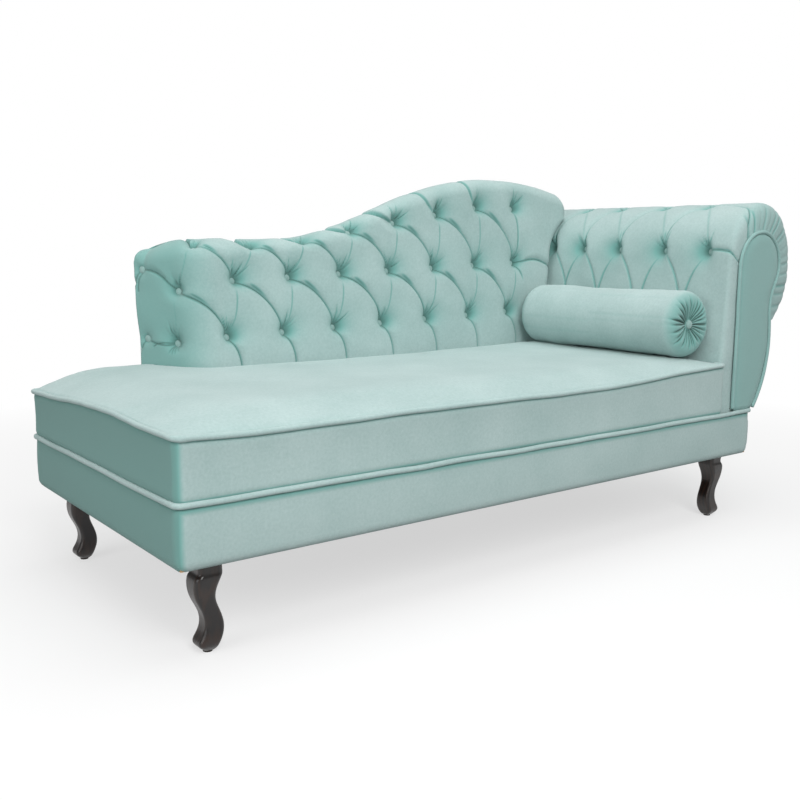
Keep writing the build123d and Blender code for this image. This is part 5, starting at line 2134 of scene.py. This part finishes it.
@dataclass(frozen=True)
class ScrolledArm:
    """Scrolled arm: tufted padding, front panel with piping, outside and rear panels."""

    bench: Bench
    shape: ArmShape
    columns: Sequence[float] = (0.082, 0.212, 0.355, 0.477, 0.585)
    buttoned: int = 4
    pitch: float = 0.126
    row_angle: float = math.radians(169.4)
    top_angle: float = math.radians(105.0)
    hidden_row: float = 0.19
    pit: float = 0.023
    pleat: float = 0.0085
    nose: float = 0.016
    roll_nose: float = 0.034
    nose_fullness: float = 0.6
    welt_radius: float = 0.0045
    welt_gap: float = 0.0003
    welt_shade: float = 0.3
    sewn_out: float = 0.004
    button: Point = (0.0088, 0.007)
    button_sink: float = 0.002
    crest_puff: float = 0.007
    front_shade: float = 0.36
    nose_shade: float = 0.22
    gathered: int = 17
    gather_shade: float = 200.0
    fan: float = math.radians(112.0)
    pit_way: float = math.radians(195.0)
    shoulder_angle: float = math.radians(131.0)
    top_pit: float = 0.014
    fine_pleat: float = 0.0018
    tail_pleat: float = 0.0045
    over_pleat: float = 0.006
    crest_width: float = 0.11
    unevenness: float = 0.001
    rim: float = 0.006
    front_rise: Point = (-0.0055, -0.0006)
    front_run: float = 0.03
    rear_rise: Point = (0.005, 0.0)
    rear_run: float = 0.04
    outside_rise: float = 0.003
    outside_run: float = 0.05
    outside_thickness: float = 0.009
    crest_ease: float = 1.4
    rear_lap: float = 0.007

    def rows(self) -> tuple[list[Point], list[Point]]:
        """Button places of the inner row and of the top row; across runs to the front.

        Returns:
            The two rows.
        """
        up = self.shape.along(self.row_angle)
        over = self.shape.along(self.top_angle)
        inner = [(-(self.bench.front + y), up + 0.002 * index) for index, y in enumerate(self.columns)]
        top = [(-(self.bench.front + y + self.pitch / 2.0), over) for y in self.columns[:self.buttoned]]
        return inner, top

    def tufting(self) -> Tufting:
        """Buttons and pleats of the padding.

        Returns:
            The tufting.
        """
        inner, top = self.rows()
        fan = {"fan": self.fan, "way": self.pit_way}
        spots = [
            Spot(*place, depth=depth, wide=wide, seed=seed + index, **fan)
            for places, depth, wide, seed in ((inner, self.pit, 0.036, 120), (top, self.top_pit, 0.018, 140))
            for index, place in enumerate(places)
        ]
        finest = {"lip": 0.004, "slope": 0.004, "shade_mark": 0.3}
        faint = {"lip": 0.005, "slope": 0.014, "shade_mark": 0.6, "crease": 0.0022}
        folds = []
        for index, place in enumerate(inner):
            if index > 0:
                folds.append(Fold(place, top[index - 1], self.pleat, bow=0.14, slope=0.026))
            if index < len(top):
                folds.append(Fold(place, top[index], self.fine_pleat, bow=-0.05, **finest))
            for way in (-1.0, 1.0) if index else (-1.0,):
                foot = (place[0] + way * self.pitch / 2.0, place[1] - self.hidden_row)
                folds.append(Fold(place, foot, self.tail_pleat, bow=0.1 * way, **faint))
        folds += self.front_folds(inner[0], top[0])
        for place in top:
            over = (place[0] + 0.004, place[1] + 0.2)
            folds.append(Fold(place, over, self.over_pleat, lip=0.01, slope=0.016, fade_out=0.6))
        return Tufting(spots, folds)

    def front_folds(self, inner: Point, top: Point) -> list[Fold]:
        """Pleats that run from the first buttons to the front edge.

        Args:
            inner, top: first buttons of the two rows.

        Returns:
            The pleats.
        """
        edge = -self.bench.front
        shoulder = self.shape.along(self.shoulder_angle)
        return [
            Fold(inner, (edge, inner[1] - 0.01), 0.006, bow=0.06, slope=0.018),
            Fold(top, (edge + 0.006, shoulder), 0.007, bow=0.16, slope=0.02),
        ]

    def panel_match(self, length: Array) -> Array:
        """Point on the front panel's edge that each place of the section is sewn to.

        Args:
            length: places along the section.

        Returns:
            Points as x and z.
        """
        shape = self.shape
        edge = shape.facing(self.sewn_out)
        scroll = shape.scroll_centre
        radius = shape.scroll + self.sewn_out
        point, normal = shape.section(length)
        beside = stacked(edge[0, 0], np.minimum(point[..., 1], scroll[1]))
        around = scroll + radius * normal
        under = scroll + radius * ray(np.linspace(0.0, -shape.scroll_turn, 8))
        waist = edge[shape.waist_from:shape.belly_from + 1]
        tail = resample(np.concatenate([under, waist]), 0.002)
        past = (length - shape.along(0.0)) / (shape.section_length - shape.along(0.0))
        picked = np.clip(past, 0.0, 1.0) * (len(tail) - 1)
        below = stacked(*(np.interp(picked, np.arange(len(tail)), line) for line in tail.T))
        result = np.where((length < shape.face_length)[..., None], beside, around)
        return np.where((past > 0.0)[..., None], below, result)

    def build(self) -> Piece:
        """Models the tufted padding, rounded over to the front panel.

        Returns:
            The padding.
        """
        shape = self.shape
        low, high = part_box("arm_pad")
        length = np.linspace(0.0, shape.section_length, 320)
        on_roll = ramp(length, shape.face_length * 0.75, shape.along(1.4))
        nose = self.nose + (self.roll_nose - self.nose) * on_roll
        share = np.linspace(0.0, 1.0, 260)
        turn = np.linspace(0.0, QUARTER_TURN, 22)[1:]
        forward = np.sin(turn) ** self.nose_fullness
        point, normal = shape.section(length)
        sewn = self.panel_match(length)
        start = low.y + nose
        depth_y = high.y + share[None, :] * (start - high.y)[:, None]
        flat = np.concatenate([depth_y, start[:, None] - nose[:, None] * forward[None, :]], 1)
        inward = np.concatenate([np.zeros(len(share)), 1.0 - np.cos(turn) ** self.nose_fullness])
        across = np.concatenate([-depth_y, -start[:, None] + nose[:, None] * turn[None, :]], 1)
        up = np.broadcast_to(length[:, None], across.shape)
        section = point[:, None] + inward[None, :, None] * (sewn - point)[:, None]
        facing = np.concatenate([np.zeros(len(share)), np.sin(turn)])
        level = np.sqrt(1.0 - facing**2)
        out = stacked(normal[:, None, 0] * level, -facing, normal[:, None, 1] * level)
        depth, shade_mark = self.tufting().drawn(across, up)
        gathers = self.gathers(length, facing)
        crest = np.exp(-(((up - shape.along(QUARTER_TURN)) / self.crest_width) ** 2))
        swell = self.unevenness * ripple(across, up, 0.2, 37) + self.crest_puff * crest
        place = stacked(section[..., 0], flat, section[..., 1]) - (depth + gathers - swell)[..., None] * out
        inside = self.inner_rows(flat)
        points = np.concatenate([place, inside])
        # Painted shade on the roll's nose where it turns to the front, and in the gathers.
        mid_shade = self.nose_shade * facing * ramp(length, shape.along(2.4), shape.along(2.0))[:, None]
        shade_mark = np.maximum(np.maximum(shade_mark, self.gather_shade * gathers), mid_shade)
        shade = np.concatenate([shade_mark, np.zeros(inside.shape[:2])])
        return closed_piece("arm_tufting", points, quads(*points.shape[:2], wrap_rows=True), shade)

    def gathers(self, length: Array, facing: Array) -> Array:
        """Small gathers where the padding is sewn round the scroll.

        Args:
            length: places along the section.
            facing: how far each place towards the front panel has turned to the front.

        Returns:
            Depth at each place.
        """
        draw = np.random.default_rng(61)
        total = np.zeros((len(length), len(facing)))
        first, last = self.shape.along(math.radians(125.0)), self.shape.section_length - 0.02
        for place in np.linspace(first, last, self.gathered):
            place = place + draw.uniform(-0.006, 0.006)
            width = draw.uniform(0.0035, 0.006)
            strength = draw.uniform(0.0006, 0.0032)
            total += strength * np.exp(-(((length - place) / width) ** 2))[:, None] * ramp(facing, 0.1, 0.95)
        return total

    def inner_rows(self, flat: Array) -> Array:
        """Rows that close the padding inside the arm.

        Args:
            flat: Y of the padding's points.

        Returns:
            Points of three rows.
        """
        shape = self.shape
        tip = shape.section(np.array(shape.section_length))[0]
        inside = [
            (shape.scroll_centre[0], tip[1]),
            (shape.foot[0] + shape.padding + 0.03, 0.44),
            (shape.foot[0] + shape.padding + 0.012, self.bench.seam),
        ]
        return np.stack([stacked(x, flat[0], z) for x, z in inside])

    def button_places(self) -> list[Pair]:
        """Seat and outward direction of every button.

        Returns:
            A pair of points for each button.
        """
        inner, top = self.rows()
        across, up = np.array([*inner[:self.buttoned], *top]).T
        depth = self.tufting().drawn(across, up)[0] - self.button_sink
        point, normal = self.shape.section(up)
        out = stacked(normal[:, 0], 0.0, normal[:, 1])
        return list(zip(stacked(point[:, 0], -across, point[:, 1]) - depth[:, None] * out, out))

    def end_panel(
        self,
        name: str,
        rows: Sequence[Array],
        share: Array,
        faces: Point,
        rise: Point,
        run: float,
        shade_level: float = 0.0,
    ) -> Piece:
        """Padded panel on an end of the arm.

        Args:
            name: name of the piece.
            rows: heights, and the left and right edge at each.
            share: places across a row.
            faces: Y of the outer face's rim and of the hidden face.
            rise: how far the middle and its small waves stand out along Y.
            run: width of the rounded rim.
            shade_level: painted shade, the same over the whole panel, from 0 to 1.

        Returns:
            The panel.
        """
        z, left, right = (row[:, None] for row in rows)
        x = left + share * (right - left)
        rim = np.minimum(np.minimum(x - left, right - x), (z[-1] - z) * self.crest_ease)
        y = faces[0] + rise[0] * dome(rim, run, PANEL_FULLNESS) + rise[1] * ripple(x, z, 0.3, 41)
        return two_faced(name, stacked(x, y, z), stacked(x, faces[1], z), shade_level)

    @staticmethod
    def sides(edge: Array, heights: Array) -> Pair:
        """Left and right edge of an outline that rises to its crest, at each height.

        Args:
            edge: the outline.
            heights: the heights.

        Returns:
            X of both edges.
        """
        crest = int(np.argmax(edge[:, 1]))
        up, down = edge[:crest + 1], edge[crest:][::-1]
        return np.interp(heights, up[:, 1], up[:, 0]), np.interp(heights, down[:, 1], down[:, 0])

    def front_panel(self) -> Piece:
        """Models the flat covered panel on the front of the arm.

        Returns:
            The panel.
        """
        low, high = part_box("arm_facing")
        edge = self.shape.facing(0.0)
        swing = np.linspace(0.0, QUARTER_TURN, 60)
        heights = low.z + (edge[:, 1].max() - low.z) * np.sin(swing)
        rows = (heights, *self.sides(edge, heights))
        share = graded(0.0, 1.0, 0.05, fine=0.02, margin=0.12)
        faces = (low.y + self.rim, high.y)
        # The last look is painted shade over the whole front panel.
        looks = (self.front_rise, self.front_run, self.front_shade)
        return self.end_panel("arm_front_panel", rows, share, faces, *looks)

    def front_piping(self) -> Piece:
        """Models the piping round the front panel.

        Returns:
            The piping.
        """
        low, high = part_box("arm_facing")
        edge = resample(self.shape.facing(self.welt_radius + self.welt_gap), 0.005)
        edge = edge[edge[:, 1] > low.z]
        depth = (low.y + high.y) / 2.0 - 0.001 + 0.0008 * ripple(edge[:, 0], edge[:, 1], 0.3, 43)
        path = stacked(edge[:, 0], depth, edge[:, 1])
        # The piping carries painted shade over its whole length.
        return tube("arm_front_piping", path, self.welt_radius, shade_level=self.welt_shade)

    def outside_panel(self) -> Piece:
        """Models the covered belly below the roll.

        Returns:
            The panel.
        """
        low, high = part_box("arm_outside_cover")
        belly = resample(self.shape.facing(0.0)[self.shape.belly_from:], 0.008)
        belly = belly[(belly[:, 1] < high.z) & (belly[:, 1] > low.z)]
        x, z = belly[:, :1], belly[:, 1:]
        y = graded(low.y, high.y, 0.014)
        rim = np.minimum(np.minimum(y - low.y, high.y - y), np.minimum(high.z - z, z - low.z))
        bulge = self.outside_rise * dome(rim, self.outside_run, PANEL_FULLNESS)
        bulge = bulge + 0.0008 * ripple(y, z, 0.4, 47)
        outer = stacked(x - self.outside_rise + bulge, y, z)
        return two_faced("arm_outside_panel", outer, stacked(x - self.outside_thickness, y, z))

    def rear_panel(self) -> Piece:
        """Models the covered panel that closes the rear of the arm.

        Returns:
            The panel.
        """
        shape = self.shape
        low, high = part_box("arm_rear_panel")
        section, _ = shape.section(np.linspace(0.0, shape.section_length, 400))
        tip = section[-1, 1]
        swing = np.linspace(0.0, QUARTER_TURN, 44)
        upper = tip + (section[:, 1].max() - tip) * np.sin(swing)
        heights = np.concatenate([np.linspace(low.z - self.rear_lap, tip - 0.002, 24), upper])
        left, right = self.sides(section, heights)
        belly = shape.facing(0.0)[shape.belly_from:][::-1]
        right = np.where(heights < tip, np.interp(heights, belly[:, 1], belly[:, 0]), right)
        share = graded(0.0, 1.0, 0.05, fine=0.015, margin=0.09)
        faces = (high.y - self.rim, low.y + PANEL_GAP)
        rows = (heights, left, right)
        return self.end_panel("arm_rear_cover", rows, share, faces, self.rear_rise, self.rear_run)

    def dress(self, velvet: Material, button_velvet: Material) -> None:
        """Builds the pieces and gives them their finish.

        Args:
            velvet: finish of the covers.
            button_velvet: finish of the buttons.
        """
        dress(self.build(), velvet, ["arm_pad"])
        dress_buttons(self.button, self.button_places(), button_velvet, "arm_buttons")
        dress(self.front_panel(), velvet, ["arm_facing"])
        dress(self.front_piping(), velvet, ["arm_facing_welt"])
        dress(self.outside_panel(), velvet, ["arm_outside_cover"])
        dress(self.rear_panel(), velvet, ["arm_rear_panel"])


# Bolster


@dataclass(frozen=True)
class Bolster:
    """Loose stuffed roll with gathered ends and a button at each."""

    pleats: int = 26
    end_round: float = 0.03
    dimple: float = 0.009
    button: Point = (0.0105, 0.008)
    button_gap: float = 0.0005
    pleat_depth: float = 0.0076
    pleat_lengths: Point = (0.78, 1.08)
    pleat_strengths: Point = (0.6, 1.15)
    full_shade_depth: float = 0.0042
    end_shade: float = 0.44
    lump: float = 0.0016
    sides: int = 300

    def profile(self, radius: float, length: float) -> Array:
        """Half section of the roll, from pole to pole.

        Args:
            radius, length: size of the roll.

        Returns:
            Points as distance along the roll and radius.
        """
        rim = radius - self.end_round
        face_r = np.linspace(0.0, rim, 26)
        face_y = self.dimple * (1.0 - ramp(face_r, 0.006, rim))
        turn = np.linspace(0.0, QUARTER_TURN, 14)[1:]
        edge_r = rim + self.end_round * np.sin(turn)
        edge_y = self.end_round * (1.0 - np.cos(turn))
        front = np.concatenate([stacked(face_y, face_r), stacked(edge_y, edge_r)])
        middle = np.linspace(self.end_round, length - self.end_round, 66)[1:-1]
        body = stacked(middle, radius)
        rear = front[::-1].copy()
        rear[:, 0] = length - rear[:, 0]
        return np.concatenate([front, body, rear])

    def gather(self, radius: Array, turn: Array, reach: float, seed: int) -> Array:
        """Depth of the radial pleats on one end.

        Args:
            radius, turn: places on the end.
            reach: outer radius of the roll.
            seed: which set of pleats.

        Returns:
            Depth at each place.
        """
        draw = np.random.default_rng(seed)
        total = np.zeros(np.broadcast(radius, turn).shape)
        spacing = math.tau / self.pleats
        for index in range(self.pleats):
            place = (index + draw.uniform(-0.22, 0.22)) * spacing
            length = draw.uniform(*self.pleat_lengths) * reach
            strength = self.pleat_depth * draw.uniform(*self.pleat_strengths)
            off = (turn - place + math.pi) % math.tau - math.pi
            gap = np.abs(off) * np.maximum(radius, 0.01)
            valley = np.clip(1.0 - gap / (0.0024 + 0.055 * radius), 0.0, 1.0) ** 1.4
            total = np.maximum(total, strength * valley * (1.0 - ramp(radius, 0.55 * length, length)))
        return total * ramp(radius, 0.008, 0.016)

    def build(self) -> Piece:
        """Models the roll with its gathered ends.

        Returns:
            The roll.
        """
        low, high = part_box("bolster_cover")
        length = high.y - low.y
        radius = (high.z - low.z) / 2.0
        centre = (low + high) / 2.0
        profile = self.profile(radius, length)
        turn = np.linspace(0.0, math.tau, self.sides, endpoint=False)
        along, reach, turns = np.broadcast_arrays(profile[:, :1], profile[:, 1:], turn)
        front = along < length / 2.0
        drawn = np.where(front, *(self.gather(reach, turns, radius, seed) for seed in (71, 73)))
        end_share = 1.0 - ramp(np.minimum(along, length - along), 0.0, self.end_round)
        along = along + np.where(front, drawn, -drawn) * (0.35 + 0.65 * end_share)
        lump = self.lump * ripple(along, radius * np.cos(turns), 0.31, 79)
        lump += self.lump / 2.0 * ripple(along, turns * 0.05, 0.12, 83)
        reach = reach - 0.55 * drawn * (1.0 - end_share) + (lump - self.lump) * (1.0 - end_share)
        points = stacked(centre.x + reach * np.cos(turns), low.y + along, centre.z + reach * np.sin(turns))
        # Painted shade in the end pleats and over both ends.
        shade = np.maximum(np.clip(drawn / self.full_shade_depth, 0.0, 1.0), self.end_shade * end_share)
        return closed_piece("bolster_roll", points, quads(len(profile), self.sides, wrap_cols=True), shade)

    def button_places(self) -> list[Pair]:
        """Seat and outward direction of the two end buttons.

        Returns:
            A pair of points for each button.
        """
        low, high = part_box("bolster_cover")
        x, _, z = (low + high) / 2.0
        seat = self.dimple + self.button_gap
        ends = ((low.y + seat, -1.0), (high.y - seat, 1.0))
        return [(np.array([x, y, z]), np.array([0.0, way, 0.0])) for y, way in ends]

    def dress(self, velvet: Material, button_velvet: Material) -> None:
        """Builds the pieces and gives them their finish.

        Args:
            velvet: finish of the covers.
            button_velvet: finish of the buttons.
        """
        covered = ["bolster_cover", "bolster_filling"]
        dress(self.build(), velvet, covered, Body.BOLSTER)
        dress_buttons(self.button, self.button_places(), button_velvet, "bolster_buttons", Body.BOLSTER)


# Studio


@dataclass(frozen=True)
class Softbox:
    """Square lamp with its place, what it points at, the length of its side and its watts."""

    name: str
    place: Sequence[float]
    aim: Sequence[float]
    side: float
    power: float

    def add(self) -> None:
        """Adds the lamp to the scene."""
        data = bpy.data.lights.new(self.name, "AREA")
        data.shape = "SQUARE"
        data.size = self.side
        data.energy = self.power
        lamp = bpy.data.objects.new(self.name, data)
        heading = Vector(self.aim) - Vector(self.place)
        lamp.rotation_euler = heading.to_track_quat("-Z", "Y").to_euler()
        lamp.location = self.place
        bpy.context.scene.collection.objects.link(lamp)


@dataclass(frozen=True)
class Studio:
    """Pale floor, soft lamps and the camera."""

    camera_place: tuple[float, float, float] = (-1.4033, -1.6647, 0.653)
    azimuth: float = math.radians(37.33)
    pitch: float = math.radians(9.09)
    roll: float = math.radians(0.28)
    lens: float = 42.97
    sensor: float = 36.0
    world_light: float = 0.31
    floor_side: float = 30.0
    floor_bounce: float = 0.35
    floor_white: float = 0.9
    floor_fade: Point = (0.9, 2.4)
    floor_glow: float = 0.62
    lamps: Sequence[Softbox] = (
        Softbox("key", (-1.2, -3.0, 2.5), (0.1, 0.0, 0.45), 1.8, 86.0),
        Softbox("overhead", (0.2, -0.3, 3.2), (0.1, 0.0, 0.3), 2.6, 43.0),
        Softbox("fill", (-3.2, -0.8, 1.3), (-0.6, 0.0, 0.35), 2.0, 26.0),
    )

    def camera(self) -> None:
        """Places the camera at the photograph's viewpoint."""
        data = bpy.data.cameras.new("camera")
        data.lens = self.lens
        data.sensor_width = self.sensor
        data.clip_end = 60.0
        camera = bpy.data.objects.new("camera", data)
        turn = (
            Matrix.Rotation(-self.azimuth, 4, "Z")
            @ Matrix.Rotation(QUARTER_TURN - self.pitch, 4, "X")
            @ Matrix.Rotation(self.roll, 4, "Z")
        )
        camera.matrix_world = Matrix.Translation(Vector(self.camera_place)) @ turn
        bpy.context.scene.collection.objects.link(camera)
        bpy.context.scene.camera = camera

    def floor(self) -> None:
        """Adds a white floor that keeps the object's shadow and fades into the background."""
        bpy.ops.object.select_all(action="DESELECT")
        bpy.ops.mesh.primitive_plane_add(size=self.floor_side)
        plane = bpy.context.object
        plane.name = "studio_floor"
        material = bpy.data.materials.new("studio_floor")
        nodes = Nodes.fresh(material)
        place = nodes.add("ShaderNodeTexCoord").outputs["Object"]
        away = nodes.add("ShaderNodeVectorMath", {0: place}, operation="LENGTH").outputs["Value"]
        seen = self.seen(nodes, "Is Glossy Ray")
        tone = nodes.span(seen, target=(self.floor_bounce, self.floor_white))
        matt = nodes.add("ShaderNodeBsdfDiffuse", {"Color": tone}).outputs[0]
        white = nodes.add("ShaderNodeEmission", {"Color": WHITE, "Strength": 1.0}).outputs[0]
        glow = nodes.sum("MULTIPLY", nodes.span(away, self.floor_fade, (self.floor_glow, 1.0)), seen)
        mixed = nodes.add("ShaderNodeMixShader", {0: glow, 1: matt, 2: white}).outputs[0]
        nodes.add("ShaderNodeOutputMaterial", {"Surface": mixed})
        plane.data.materials.append(material)

    @staticmethod
    def seen(nodes: Nodes, other: str) -> Socket:
        """1 for the camera's rays and for one other kind."""
        path = nodes.add("ShaderNodeLightPath")
        return nodes.sum("MAXIMUM", path.outputs["Is Camera Ray"], path.outputs[other])

    def world(self) -> None:
        """Lights the surroundings evenly and shows them white."""
        world = bpy.data.worlds.new("studio")
        bpy.context.scene.world = world
        nodes = Nodes.fresh(world)
        strength = nodes.span(self.seen(nodes, "Is Transmission Ray"), target=(self.world_light, 1.0))
        light = nodes.add("ShaderNodeBackground", {"Color": WHITE, "Strength": strength}).outputs[0]
        nodes.add("ShaderNodeOutputWorld", {"Surface": light})

    def build(self) -> None:
        """Sets the whole studio up."""
        bpy.context.scene.view_settings.view_transform = "Standard"
        self.camera()
        self.world()
        self.floor()
        for lamp in self.lamps:
            lamp.add()


def finish_frame(materials: dict[Slot, Material]) -> None:
    """Gives every carried-over CAD node the finish of its slot.

    Args:
        materials: the finish of each slot.
    """
    for entry in frame["record"]["subparts"]:
        node = frame["nodes"][entry["node"]]
        node.data.materials.clear()
        node.data.materials.append(materials[Slot(entry["material_slot"])])


def write_sizes() -> None:
    """Updates the view layer."""
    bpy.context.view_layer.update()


def main() -> None:
    """Builds the recamier's upholstery in order and dresses it."""
    logging.basicConfig(level=logging.INFO, format="%(name)s: %(message)s")
    effects = Effects()
    materials = {slot: finish.material(slot.value, effects) for slot, finish in FINISHES.items()}
    finish_frame(materials)
    velvet, button_velvet = materials[Slot.VELVET], materials[Slot.BUTTON_VELVET]
    bench = Bench.read()
    arm_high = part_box("arm_pad")[1]
    arm = ArmShape(bench, arm_high.x, arm_high.z)
    back_low, back_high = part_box("back_pad")
    plan = BackPlan(back_low.x, back_high.x, back_low.y, back_high.y, back_high.z, arm, bench)
    BaseApron(bench).dress(velvet)
    SeatCushion(bench, plan).dress(velvet)
    TuftedBack(bench, plan).dress(velvet, button_velvet)
    ScrolledArm(bench, arm).dress(velvet, button_velvet)
    Bolster().dress(velvet, button_velvet)
    Studio().build()
    write_sizes()


if __name__ == "__main__":
    main()
